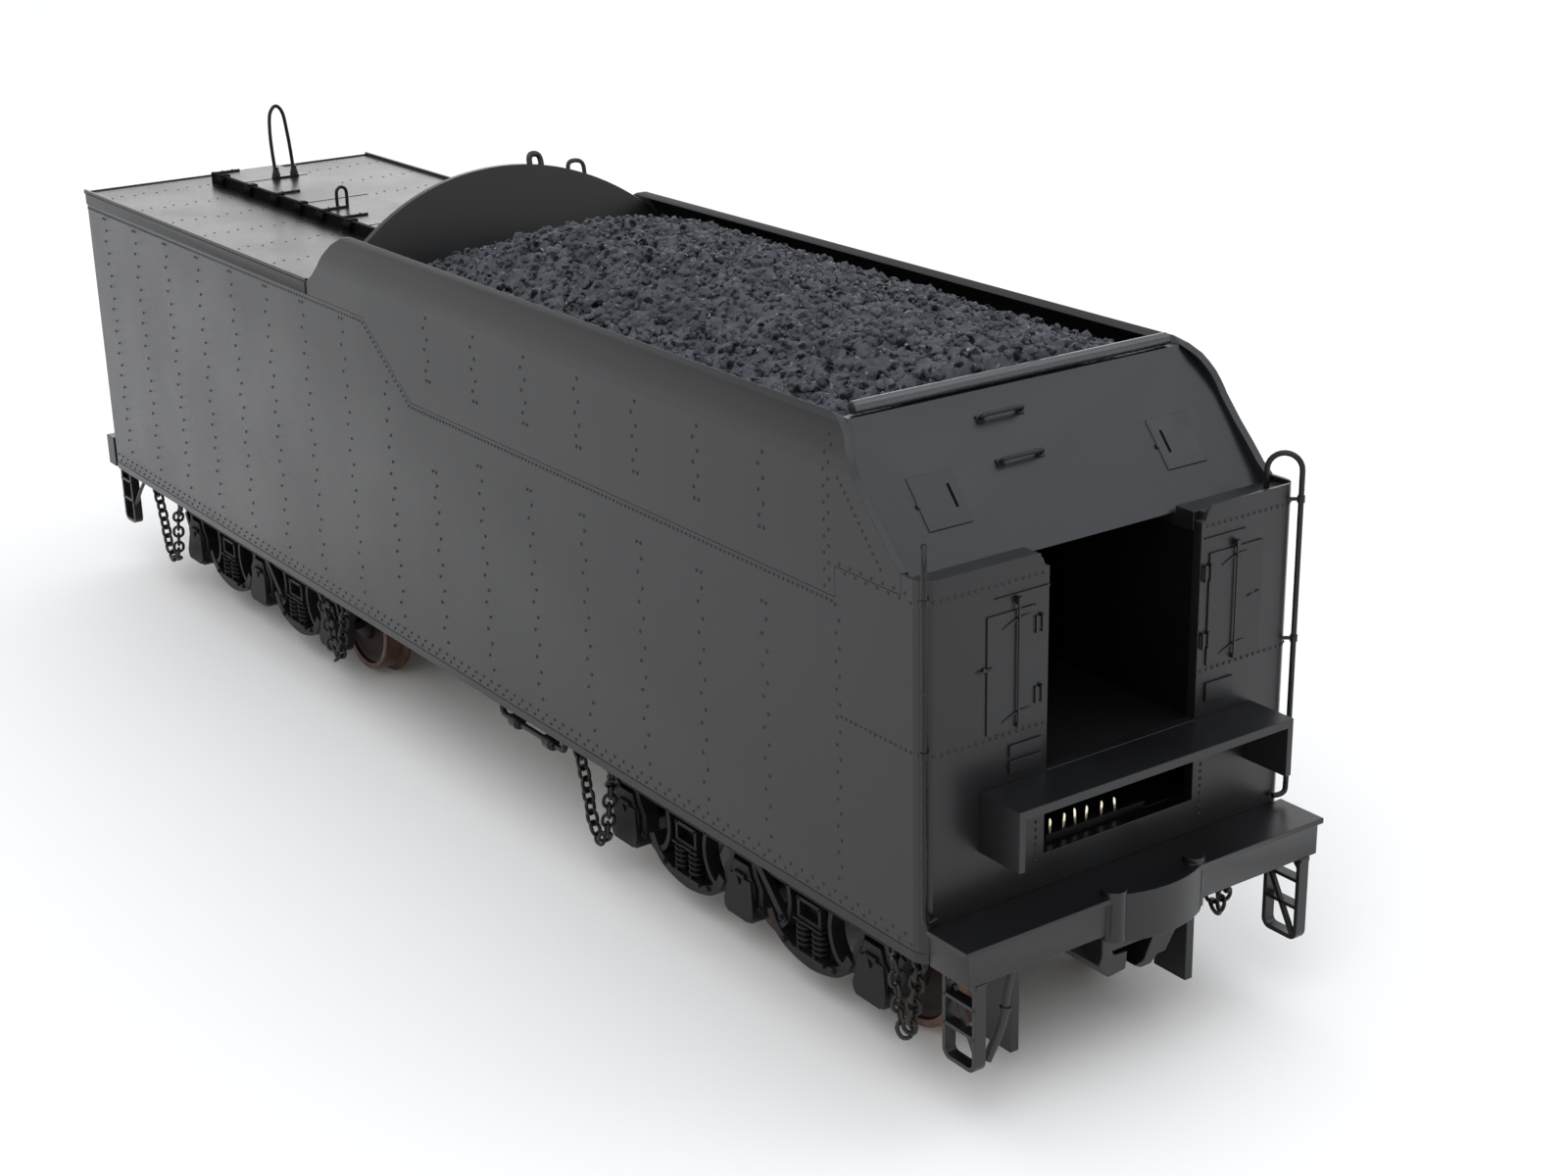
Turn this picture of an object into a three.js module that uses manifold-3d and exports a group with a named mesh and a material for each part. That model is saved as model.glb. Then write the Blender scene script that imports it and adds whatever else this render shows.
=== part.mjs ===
// Coal tender for a steam locomotive, an HO scale (1:87) railway model.
// Millimetres, +Z up. The cab end faces -Y, the coupler end faces +Y, and X runs across.
// Shapes are written from two datums: y = 0 at the tank's front wall and z = 0 at the tank's
// bottom edge. place() moves everything so that the wheels stand on z = 0, centred on X and Y.
import * as THREE from 'three'
import { mergeVertices } from 'three/addons/utils/BufferGeometryUtils.js'
import Module from 'manifold-3d'

const wasm = await Module()
wasm.setup()
const { Manifold, Mesh: SolidMesh } = wasm

// ---------------------------------------------------------------- driving dimensions
const TANK_W = 35.6            // across the tank sides
const TANK_L = 153             // front wall to rear wall
const DECK_Z = 32.2            // top of the rear deck
const DECK_T = 1.2             // deck plate, its edge bead included
const WALL = 0.9               // tank wall
const BOARD_T = 0.7            // coal board sheet
const BOARD_TOP = 37.6         // top edge of the coal boards
const BOARD_BEND_Z = 34.0      // where the boards start to curve inwards
const BOARD_BEND_R = 5.07      // radius of that curve
const BOARD_REAR_Y = 94.8      // where the boards meet the deck
const SEAM_Z = 24.7            // riveted seam along the sides
const RECESS_X0 = -6.7         // cab-end recess between the two cabinets
const RECESS_X1 = 7.9
const RECESS_DEPTH = 20
const SHELF_Z = 11.87          // shelf and recess floor
const ROOF_Z = 27.4            // cabinet roofs
const ROOF_EDGE_Z = 28.0       // cabinet roofs in front of the slope sheet
const PARAPET_Z = 28.5         // rim round those roofs
const SLOPE_FOOT = [3.4, 28.0] // slope sheet, lower edge (y, z)
const SLOPE_HEAD = [11.5, 37.6]
const BULKHEAD_Y = 85.3        // foot of the arched bulkhead behind the coal
const BULKHEAD_LEAN = 0.22     // how far it leans back above the deck, per unit of height
const BULKHEAD_R = 25
const BULKHEAD_TOP = 42.4
const PLATFORM_Z = 2.6         // cab-end platform
const PLATFORM_Y = -4.5
const FRAME_Z = -0.4           // underside of the underframe
const TRUCK_Y = [28.7, 122.3]  // truck pivots
const AXLE_GAP = 17.5          // between axles of a truck
const AXLE_Z = -7.5
const TREAD_R = 5.2
const FLANGE_R = 5.8
const COUPLER_Z = -3.2
const COUPLER_PIVOT_Y = 150.2
const HALF = TANK_W / 2

// ---------------------------------------------------------------- materials
const paint = (name, color, roughness, metalness = 0) =>
  new THREE.MeshStandardMaterial({ name, color, roughness, metalness })
const MAT = {
  body: paint('body_paint', 0x1f2022, 0.55),
  truck: paint('truck_paint', 0x191a1b, 0.6),
  wire: paint('wire_black', 0x161617, 0.5, 0.3),
  chain: paint('chain_black', 0x24221f, 0.45, 0.6),
  wheel: paint('wheel_metal', 0x3a2a24, 0.4, 0.8),
  coal: paint('coal', 0x15171b, 0.8),
  steel: paint('weight_steel', 0x8a8d90, 0.5, 0.9),
  board: paint('board_green', 0x1c3b26, 0.6),
  pin: paint('contact_gold', 0xd9b45a, 0.3, 1.0),
}

// ---------------------------------------------------------------- solids
const AXES = {
  x: new THREE.Matrix4().set(0, 0, 1, 0, 1, 0, 0, 0, 0, 1, 0, 0, 0, 0, 0, 1),
  y: new THREE.Matrix4().set(1, 0, 0, 0, 0, 0, -1, 0, 0, 1, 0, 0, 0, 0, 0, 1),
  z: new THREE.Matrix4(),
}

// A polygon pushed along one axis: along x its points are (y, z), along y (x, z), along z (x, y).
function prism(axis, points, from, to, holes = []) {
  const outline = points.map(p => new THREE.Vector2(...p))
  if (THREE.ShapeUtils.isClockWise(outline)) outline.reverse()
  const shape = new THREE.Shape(outline)
  for (const h of holes) shape.holes.push(new THREE.Path(h.map(p => new THREE.Vector2(...p))))
  const geo = new THREE.ExtrudeGeometry(shape, { depth: to - from, bevelEnabled: false })
  geo.applyMatrix4(AXES[axis])
  if (axis === 'x') geo.translate(from, 0, 0)
  if (axis === 'y') geo.translate(0, to, 0)
  if (axis === 'z') geo.translate(0, 0, from)
  return geo
}

function box(x0, x1, y0, y1, z0, z1) {
  return new THREE.BoxGeometry(x1 - x0, y1 - y0, z1 - z0)
    .translate((x0 + x1) / 2, (y0 + y1) / 2, (z0 + z1) / 2)
}

function rod(a, b, r, sides = 8) {
  const from = new THREE.Vector3(...a), to = new THREE.Vector3(...b)
  const dir = to.clone().sub(from)
  const geo = new THREE.CylinderGeometry(r, r, dir.length(), sides)
  geo.applyQuaternion(new THREE.Quaternion()
    .setFromUnitVectors(new THREE.Vector3(0, 1, 0), dir.clone().normalize()))
  return geo.translate(...from.add(to).multiplyScalar(0.5).toArray())
}

// A round wire along a smooth or straight-cornered path, with flat ends.
function wire(points, r, sides = 6, steps = 0) {
  let path = points.map(p => new THREE.Vector3(...p))
  if (steps) path = new THREE.CatmullRomCurve3(path).getPoints(steps)
  const pos = [], index = []
  let normal = null
  path.forEach((p, i) => {
    const a = path[Math.max(i - 1, 0)], b = path[Math.min(i + 1, path.length - 1)]
    const before = p.clone().sub(a), after = b.clone().sub(p)
    const t = before.normalize().add(after.normalize()).normalize()
    if (!normal) normal = Math.abs(t.z) < 0.9 ? new THREE.Vector3(0, 0, 1) : new THREE.Vector3(1, 0, 0)
    normal.sub(t.clone().multiplyScalar(normal.dot(t))).normalize()
    const side = t.clone().cross(normal)
    for (let k = 0; k < sides; k++) {
      const w = 2 * Math.PI * k / sides
      pos.push(...p.clone().addScaledVector(normal, r * Math.cos(w))
        .addScaledVector(side, r * Math.sin(w)).toArray())
    }
  })
  const rings = path.length
  for (let i = 0; i < rings - 1; i++) {
    for (let k = 0; k < sides; k++) {
      const a = i * sides + k, b = i * sides + (k + 1) % sides
      index.push(a, b, a + sides, b, b + sides, a + sides)
    }
  }
  for (let k = 1; k < sides - 1; k++) {
    index.push(0, k + 1, k)
    const e = (rings - 1) * sides
    index.push(e, e + k, e + k + 1)
  }
  const geo = new THREE.BufferGeometry()
  geo.setAttribute('position', new THREE.Float32BufferAttribute(pos, 3))
  geo.setIndex(index)
  return geo
}

function bare(geo) {
  const g = geo.index ? geo.toNonIndexed() : geo.clone()
  for (const name of Object.keys(g.attributes)) if (name !== 'position') g.deleteAttribute(name)
  return mergeVertices(g, 1e-4)
}

function solid(geo) {
  const g = bare(geo)
  const mesh = new SolidMesh({
    numProp: 3,
    vertProperties: Float32Array.from(g.attributes.position.array),
    triVerts: Uint32Array.from(g.index.array),
  })
  mesh.merge()
  return new Manifold(mesh)
}

function geometry(m) {
  const mesh = m.getMesh()
  const geo = new THREE.BufferGeometry()
  geo.setAttribute('position', new THREE.BufferAttribute(Float32Array.from(mesh.vertProperties), 3))
  geo.setIndex(Array.from(mesh.triVerts))
  return geo
}

const join = (...geos) => geometry(geos.map(solid).reduce((a, b) => a.add(b)))
const cut = (geo, ...tools) => geometry(tools.map(solid).reduce((a, b) => a.subtract(b), solid(geo)))
const common = (a, b) => geometry(solid(a).intersect(solid(b)))
const mirrorX = geo => {
  const g = bare(geo).applyMatrix4(new THREE.Matrix4().makeScale(-1, 1, 1))
  const i = g.index.array
  for (let k = 0; k < i.length; k += 3) [i[k], i[k + 1]] = [i[k + 1], i[k]]
  return g
}
const shiftY = (geo, dy) => geo.clone().translate(0, dy, 0)
const arc = (cx, cz, r, from, to, n) => Array.from({ length: n + 1 }, (_, i) => {
  const a = (from + (to - from) * i / n) * Math.PI / 180
  return [cx + r * Math.cos(a), cz + r * Math.sin(a)]
})

const nodes = []
const add = (name, mat, geo) => nodes.push([name, mat, geo])

// ---------------------------------------------------------------- tank shell
// The plan is a rounded rectangle. Above the seam the sides are the coal boards' own sheets.
const roundedPlan = (x, y0, y1, rFront, rRear) => [
  ...arc(-x + rFront, y0 + rFront, rFront, 180, 270, 4),
  ...arc(x - rFront, y0 + rFront, rFront, 270, 360, 4),
  ...arc(x - rRear, y1 - rRear, rRear, 0, 90, 3),
  ...arc(-x + rRear, y1 - rRear, rRear, 90, 180, 3),
]
const SHELL_FOOT = 0.4
const shellTop = DECK_Z - DECK_T
const sideLine = [[-1, SHELL_FOOT], [TANK_L + 1, SHELL_FOOT], [TANK_L + 1, shellTop], [82.9, shellTop],
  [74.3, SEAM_Z], [10.1, SEAM_Z], [10.1, 27.0], [2.6, 27.0], [2.6, PARAPET_Z], [-1, PARAPET_Z]]
const shellRing = cut(
  prism('z', roundedPlan(HALF, 0, TANK_L, 1.3, 0.8), SHELL_FOOT, shellTop),
  box(-HALF + WALL, HALF - WALL, WALL, TANK_L - WALL, SHELL_FOOT - 1, shellTop + 1))
const parapetGap = prism('y', [[RECESS_X0, SHELF_Z], [RECESS_X1, SHELF_Z], [RECESS_X1, ROOF_Z],
  [RECESS_X1 + 0.35, ROOF_Z], [RECESS_X1 + 0.6, PARAPET_Z - 0.45], [RECESS_X1 + 1.1, PARAPET_Z],
  [RECESS_X1 + 1.1, 40], [RECESS_X0 - 1.1, 40], [RECESS_X0 - 1.1, PARAPET_Z],
  [RECESS_X0 - 0.6, PARAPET_Z - 0.45], [RECESS_X0 - 0.35, ROOF_Z], [RECESS_X0, ROOF_Z]], -1, 2)
const connectorSlot = box(-6.8, 7.95, -1, 2, 5.3, 8.5)
const RIM = 0.35
const rimRebate = box(-HALF + RIM, HALF - RIM, RIM, 2.7, ROOF_EDGE_Z, ROOF_EDGE_Z + 2)
add('tank_shell', 'body', cut(common(shellRing, prism('x', sideLine, -HALF - 1, HALF + 1)),
  parapetGap, connectorSlot, rimRebate))

// Floor, side walls and back of the recess, in one bent sheet.
const linerTop = ROOF_Z - WALL
add('recess_liner', 'body', cut(
  box(RECESS_X0 - 0.8, RECESS_X1 + 0.8, WALL, RECESS_DEPTH + 0.8, SHELF_Z - 0.8, linerTop),
  box(RECESS_X0, RECESS_X1, WALL - 1, RECESS_DEPTH, SHELF_Z, linerTop + 1)))

// One sheet makes the cabinet roofs and the bunker floor.
add('upper_floor', 'body', cut(join(
  box(-HALF + WALL, HALF - WALL, WALL, BULKHEAD_Y, linerTop, ROOF_Z),
  box(-HALF + WALL, HALF - WALL, WALL, 2.8, linerTop, ROOF_EDGE_Z)),
box(RECESS_X0, RECESS_X1, 0, 9, linerTop - 1, ROOF_EDGE_Z + 1)))

const innerX = HALF - WALL
add('rear_deck', 'body', prism('z', [[-innerX, BULKHEAD_Y + 0.7], [innerX, BULKHEAD_Y + 0.7],
  [innerX, BOARD_REAR_Y], [HALF + 0.12, BOARD_REAR_Y], [HALF + 0.12, TANK_L - 0.7],
  [HALF - 0.7, TANK_L + 0.12], [-HALF + 0.7, TANK_L + 0.12], [-HALF - 0.12, TANK_L - 0.7],
  [-HALF - 0.12, BOARD_REAR_Y], [-innerX, BOARD_REAR_Y]], shellTop, DECK_Z))

// ---------------------------------------------------------------- coal boards
const boardEdge = [
  [2.6, 27.0], [10.1, 27.0], [10.1, SEAM_Z], [74.3, SEAM_Z], [82.9, shellTop], [BOARD_REAR_Y, shellTop],
  [BOARD_REAR_Y, DECK_Z], [93.3, 33.1], [92.0, 34.2], [90.9, 35.5], [89.8, 36.6], [88.6, 37.3],
  [87.2, BOARD_TOP], [12.2, BOARD_TOP], [10.9, 37.2], [9.8, 36.5], [8.8, 35.3], [7.7, 33.7],
  [6.2, 32.0], [4.8, 30.6], [3.6, 29.3], [2.6, PARAPET_Z]]
const bend = (r, n = 6) => arc(-HALF + BOARD_BEND_R, BOARD_BEND_Z, r, 180, 180 - 45.2, n)
const boardSection = [[-HALF, 20], ...bend(BOARD_BEND_R),
  ...bend(BOARD_BEND_R - BOARD_T).reverse(), [-HALF + BOARD_T, 20]]
const boardLeft = common(prism('y', boardSection, 1, 96), prism('x', boardEdge, -HALF - 1, 0))
add('coal_board_left', 'body', boardLeft)
add('coal_board_right', 'body', mirrorX(boardLeft))

// ---------------------------------------------------------------- slope sheet
const slopeDir = new THREE.Vector2(SLOPE_HEAD[0] - SLOPE_FOOT[0], SLOPE_HEAD[1] - SLOPE_FOOT[1]).normalize()
const onSlope = (s, lift) => [SLOPE_FOOT[0] + slopeDir.x * s - slopeDir.y * lift,
  SLOPE_FOOT[1] + slopeDir.y * s + slopeDir.x * lift]
const slopeLength = Math.hypot(SLOPE_HEAD[0] - SLOPE_FOOT[0], SLOPE_HEAD[1] - SLOPE_FOOT[1])
const sheetIn = HALF - BOARD_T
const slopePlate = (x0, x1, s0, s1, t0, t1) => prism('x',
  [onSlope(s0, t0), onSlope(s1, t0), onSlope(s1, t1), onSlope(s0, t1)], x0, x1)
const insideBoards = prism('y', [[-sheetIn, 20], ...bend(BOARD_BEND_R - BOARD_T),
  ...bend(BOARD_BEND_R - BOARD_T).map(([x, z]) => [-x, z]).reverse(), [sheetIn, 20]], 1, 20)
const footLevel = box(-20, 20, 0, 20, ROOF_Z, 50)
const embossed = [[-13.4, -9.5], [9.2, 13.1]].map(([x0, x1]) =>
  slopePlate(x0, x1, 2.45, 6.65, -0.3, 0.12))
add('slope_sheet', 'body', common(common(
  join(slopePlate(-sheetIn, sheetIn, -0.8, slopeLength, -0.6, 0), ...embossed), insideBoards), footLevel))
const barEnd = 14.6
add('slope_sheet_bar', 'body', rod([-barEnd, ...onSlope(slopeLength + 0.47, -0.05)],
  [barEnd, ...onSlope(slopeLength + 0.47, -0.05)], 0.47, 12))

// Two grab irons on the slope sheet, each a bar on two feet.
const grabIron = s => {
  const [y0, z0] = onSlope(s, 0), [y1, z1] = onSlope(s, 0.75)
  return wire([[-5.1, y0, z0], [-5.1, y1, z1], [-1.35, y1, z1], [-1.35, y0, z0]], 0.18, 6)
}
add('grab_iron_upper', 'wire', grabIron(9.7))
add('grab_iron_lower', 'wire', grabIron(6.15))

// ---------------------------------------------------------------- bulkhead and coal
const arcCentreZ = BULKHEAD_TOP - BULKHEAD_R
const archHalf = 15.0
const archEnd = Math.asin(archHalf / BULKHEAD_R) * 180 / Math.PI
const eye = (x, w) => join(
  box(x - w, x - w + 0.45, BULKHEAD_Y + 0.1, BULKHEAD_Y + 0.55, 41, 43.7),
  box(x + w - 0.45, x + w, BULKHEAD_Y + 0.1, BULKHEAD_Y + 0.55, 41, 43.7),
  box(x - w, x + w, BULKHEAD_Y + 0.1, BULKHEAD_Y + 0.55, 43.3, 43.7))
const leaned = geo => {
  const g = bare(geo), p = g.attributes.position
  for (let i = 0; i < p.count; i++) p.setY(i, p.getY(i) + Math.max(0, p.getZ(i) - DECK_Z) * BULKHEAD_LEAN)
  return g
}
add('coal_bulkhead', 'body', join(
  box(-16.8, 16.8, BULKHEAD_Y, BULKHEAD_Y + 0.7, ROOF_Z, DECK_Z),
  leaned(join(prism('y', [[-16.8, DECK_Z], [16.8, DECK_Z], [16.8, 35.2], [16.2, 36.3],
    ...arc(0, arcCentreZ, BULKHEAD_R, 90 - archEnd, 90 + archEnd, 16), [-16.2, 36.3], [-16.8, 35.2]],
  BULKHEAD_Y, BULKHEAD_Y + 0.7), eye(2.2, 0.8), eye(6.6, 1.0)))))

// Heaped coal: high towards the back of the bunker, lower along the boards and at both ends.
const COAL = { x: 15.4, y0: 13.2, y1: 84.9, base: ROOF_Z }
function coalHeight(x, y) {
  const u = x / COAL.x, v = (y - COAL.y0) / (COAL.y1 - COAL.y0)
  const crown = 39.9 - 1.4 * (1 - v) - 6 * Math.max(0, (y - 69) / 15.9) ** 1.3
  const edge = 36.0 - 0.3 * (1 - v) - 2.2 * Math.max(0, (y - 76) / 8.9)
  const blend = Math.cos(u * Math.PI / 2) ** 0.8
  const lump = 0.28 * Math.sin(2.1 * x + 0.7 * y) * Math.cos(1.3 * y - 0.9 * x)
  return edge + (crown - edge) * blend + lump * (1 - Math.abs(u) ** 6)
}
function coalHeap(nx, ny) {
  const pos = [], index = []
  const row = ny + 1, top = (i, j) => i * row + j
  for (let i = 0; i <= nx; i++) {
    for (let j = 0; j <= ny; j++) {
      const x = -COAL.x + 2 * COAL.x * i / nx, y = COAL.y0 + (COAL.y1 - COAL.y0) * j / ny
      pos.push(x, y, coalHeight(x, y))
    }
  }
  const count = pos.length / 3
  for (let i = 0; i <= nx; i++) {
    for (let j = 0; j <= ny; j++) pos.push(pos[3 * top(i, j)], pos[3 * top(i, j) + 1], COAL.base)
  }
  const quad = (a, b, c, d) => index.push(a, b, c, a, c, d)
  for (let i = 0; i < nx; i++) {
    for (let j = 0; j < ny; j++) {
      quad(top(i, j), top(i + 1, j), top(i + 1, j + 1), top(i, j + 1))
      quad(count + top(i, j), count + top(i, j + 1), count + top(i + 1, j + 1), count + top(i + 1, j))
    }
  }
  const wallStrip = loop => loop.forEach((a, k) => {
    const b = loop[(k + 1) % loop.length]
    quad(count + a, count + b, b, a)
  })
  const loop = []
  for (let i = 0; i < nx; i++) loop.push(top(i, 0))
  for (let j = 0; j < ny; j++) loop.push(top(nx, j))
  for (let i = nx; i > 0; i--) loop.push(top(i, ny))
  for (let j = ny; j > 0; j--) loop.push(top(0, j))
  wallStrip(loop)
  const geo = new THREE.BufferGeometry()
  geo.setAttribute('position', new THREE.Float32BufferAttribute(pos, 3))
  geo.setIndex(index)
  return geo
}
add('coal_load', 'coal', coalHeap(8, 16))

// ---------------------------------------------------------------- cab end
// Cabinet doors: a raised panel with two hinges, a handle bar and its brackets.
const door = (x0, x1, barX, hingeX) => join(
  box(x0, x1, -0.25, 0, 16.1, 24.85),
  box(barX - 0.18, barX + 0.18, -0.6, -0.1, 16.3, 26.1),
  ...[[22.8, 24.2], [17.4, 18.8]].flatMap(([z0, z1]) => [
    box(hingeX - 0.55, hingeX - 0.2, -0.5, 0, z0, z1), box(hingeX + 0.15, hingeX + 0.5, -0.5, 0, z0, z1),
    box(hingeX - 0.55, hingeX + 0.5, -0.35, 0, z0 + 0.2, z1 - 0.2)]),
  ...[24.0, 17.0].map(z => box(barX - 1.3, barX + 1.5, -0.42, 0, z - 0.15, z + 0.15)))
add('cabinet_door_left', 'body',
  join(door(-12.4, -7.6, -9.7, -7.55), box(-13.0, -12.3, -0.4, 0, 20.7, 21.1)))
add('cabinet_door_right', 'body',
  join(door(8.75, 14.2, 11.35, 8.6), box(12.6, 14.4, -0.5, 0, 20.55, 20.85)))

// Shelf below the recess: a channel with a flange at each end.
add('front_shelf', 'body', join(
  box(-12.9, 13.9, -4.35, 0, SHELF_Z - 0.7, SHELF_Z),
  box(-12.9, -12.35, -4.35, 0, 7.2, SHELF_Z), box(13.35, 13.9, -4.35, 0, 7.2, SHELF_Z)))

// Platform: top plate with an overhanging lip, a skirt, and a shallow curved buffer in the middle.
const BUFFER_X = 0.8, BUFFER_HALF = 4.1
const bufferArc = arc(BUFFER_X, 3.85, 9.2, 244, 296, 12)
const bufferPost = (x, y, r) => rod([x, y, -1.0], [x, y, PLATFORM_Z + 0.45], r, 20)
const flat = HALF - 0.1
const platform = join(
  box(-flat, flat, PLATFORM_Y, 0, PLATFORM_Z - 0.45, PLATFORM_Z),
  box(-flat + 0.35, flat - 0.35, PLATFORM_Y + 0.25, PLATFORM_Y + 0.85, FRAME_Z, PLATFORM_Z),
  box(-flat + 0.35, -flat + 0.95, PLATFORM_Y + 0.25, 0, FRAME_Z, PLATFORM_Z),
  box(flat - 0.95, flat - 0.35, PLATFORM_Y + 0.25, 0, FRAME_Z, PLATFORM_Z),
  prism('z', [...bufferArc, [BUFFER_X + BUFFER_HALF, -3.0], [BUFFER_X - BUFFER_HALF, -3.0]],
    -1.3, PLATFORM_Z),
  bufferPost(-3.5, -3.95, 0.95), bufferPost(4.8, -3.55, 0.85))
add('front_platform', 'body', platform)

// Handrails: an upright wire at each front corner, looping back to the low wall, on two standoffs.
function handrail(x, y) {
  const loop = Array.from({ length: 7 }, (_, i) => {
    const a = Math.PI * i / 6, d = 1.3 - 1.3 * Math.cos(a)
    return [x + 0.62 * d, y + 0.78 * d, 29.5 + 1.3 * Math.sin(a)]
  })
  const rail = wire([[x + 1.2, y + 0.2, 3.3], [x + 0.1, y, 3.3], [x, y, 4.0], ...loop,
    [x + 0.62 * 2.6, y + 0.78 * 2.6, 27.6]], 0.22, 6)
  return join(rail, ...[27.3, 16.2].map(z => rod([x, y, z], [x + 0.95, y + 0.75, z], 0.22, 6)))
}
const railTrim = prism('z', roundedPlan(HALF, 0, TANK_L, 1.3, 0.8), -1, ROOF_EDGE_Z)
add('handrail_left', 'wire', cut(handrail(-18.1, -0.3), railTrim))
add('handrail_right', 'wire', mirrorX(cut(handrail(-17.65, -0.45), railTrim)))

// ---------------------------------------------------------------- rear deck fittings
const hatchY = [101, 148.2], hatchX = 4.0, hatchTop = DECK_Z + 1.15
add('water_hatch', 'body', join(
  box(-hatchX, hatchX, hatchY[0], hatchY[1], DECK_Z, hatchTop),
  ...[112, 118.5, 124, 130, 137].map(y =>
    box(-hatchX - 0.35, -hatchX + 0.8, y, y + 1.5, DECK_Z, hatchTop + 0.25)),
  ...[147.4, 131.2, 119.6, 114.6].map(y =>
    box(-hatchX, -hatchX + 2.9, y, y + 0.35, hatchTop - 0.1, hatchTop + 0.25))))
add('hatch_handle', 'wire', wire([[-1.9, 120.3, hatchTop], [-1.9, 120.3, hatchTop + 1.75],
  [-1.6, 120.25, hatchTop + 2.1], [-1.1, 120.2, hatchTop + 2.1], [-0.8, 120.2, hatchTop + 1.75],
  [-0.8, 120.2, hatchTop]], 0.17, 6))
const pinY = 140.2
add('deck_hairpin', 'wire', join(
  wire([[0.15, pinY, hatchTop], [-0.1, pinY + 0.1, hatchTop + 5.2], [0.1, pinY + 0.1, hatchTop + 7.2],
    [0.85, pinY + 0.1, hatchTop + 8.1], [1.6, pinY + 0.1, hatchTop + 7.2], [2.0, pinY + 0.1, hatchTop + 4.8],
    [2.35, pinY, hatchTop]], 0.2, 6, 12),
  box(-0.25, 0.55, pinY - 0.3, pinY + 0.3, hatchTop, hatchTop + 1.1),
  box(1.95, 2.75, pinY - 0.3, pinY + 0.3, hatchTop, hatchTop + 1.1),
  box(-0.25, 2.75, pinY - 0.3, pinY + 0.3, hatchTop, hatchTop + 0.3)))

// ---------------------------------------------------------------- underframe
// Floor plate, a plinth inside the shell and the truck bosses in one casting.
const BOSS_Z = -3.4
const BOARD_Z = 4.2              // underside of the circuit board, which sits on four posts
const underframe = join(
  prism('z', roundedPlan(HALF + 0.05, 0, TANK_L, 1.3, 0.8), FRAME_Z, SHELL_FOOT),
  box(-HALF + 1.6, HALF - 1.6, 2, TANK_L - 2, 0, 1.6),
  ...[-8, 8].flatMap(x => [8, 40].map(y => rod([x, y, 1.4], [x, y, BOARD_Z], 1.4, 12))),
  ...TRUCK_Y.map(y => rod([0, y, BOSS_Z], [0, y, 0.2], 3.2, 20)),
  box(-HALF + 1.6, HALF - 1.6, 2, TANK_L - 2, FRAME_Z, 0.1))
const platformSeat = box(-flat - 1, flat + 1, PLATFORM_Y - 3, 0, -2, PLATFORM_Z)
add('underframe', 'body', cut(underframe, platformSeat,
  ...TRUCK_Y.map(y => rod([0, y, BOSS_Z - 1], [0, y, 1.2], 1.0, 16))))

// Rear beam, and a guard plate in front of each leading wheel.
add('rear_beam', 'body', box(-HALF, HALF, TANK_L, TANK_L + 2.1, FRAME_Z, 3.1))
for (const [name, x] of [['left', -8.9], ['right', 8.9]]) {
  add(`wheel_guard_${name}`, 'body', box(x - 0.4, x + 0.4, 0.5, 4.0, -10.6, FRAME_Z))
}

// Corner steps: two stringers, rungs, a tread and a diagonal brace.
function step(y0, y1, top) {
  const x0 = -16.65, x1 = -15.65, bottom = -7.6
  return join(
    box(x0, x1, y0, y0 + 0.4, bottom, top), box(x0, x1, y1 - 0.4, y1, bottom, top),
    box(x0, x1, y0, y1, bottom, bottom + 0.4),
    ...[-2.4, -4.7].map(z => box(x0, x1, y0 + 0.2, y1 - 0.2, z - 0.15, z + 0.15)),
    prism('x', [[y0 + 0.2, bottom + 0.3], [y0 + 0.75, bottom + 0.3],
      [y1 - 0.2, top - 0.6], [y1 - 0.7, top - 0.6]], x1 - 0.35, x1))
}
const frontStep = step(PLATFORM_Y + 0.3, -0.5, FRAME_Z)
const rearStep = join(step(151.9, 155.0, FRAME_Z),
  rod([-16.3, 152.2, -5.4], [-16.3, 147.5, FRAME_Z - 0.2], 0.22, 6),
  box(-16.6, -16.0, 147.1, 148.0, FRAME_Z - 0.35, FRAME_Z))
add('step_front_left', 'body', frontStep)
add('step_front_right', 'body', mirrorX(frontStep))
add('step_rear_left', 'body', rearStep)
add('step_rear_right', 'body', mirrorX(rearStep))

// Drawbar pocket: a casting with two flared jaws round an open mouth.
const leftJaw = [[-3.4, -1.3], [-3.4, -3.2], [-3.7, -3.8], [-2.75, -5.05], [-1.0, -4.9], [-0.85, -3.4],
  [-2.2, -3.3], [-2.5, -2.75], [-1.6, -2.1], [-1.6, -1.3]]
const rightJaw = [[1.9, -1.3], [1.9, -2.6], [1.3, -3.8], [0.85, -4.75], [-0.1, -4.95], [0.6, -5.35],
  [1.6, -5.3], [2.2, -4.7], [3.0, -4.7], [4.0, -3.2], [4.0, -1.3]]
add('drawbar_pocket', 'body', join(
  prism('y', leftJaw, -2.8, 2.2), prism('y', rightJaw, -2.8, 2.2),
  box(-3.35, 3.85, -0.2, 2.2, -3.4, -1.3),
  box(-3.35, 3.85, -2.8, 5.6, -3.0, -1.3),
  box(-2.4, 2.9, 1.0, 5.6, -2.0, FRAME_Z)))

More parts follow.
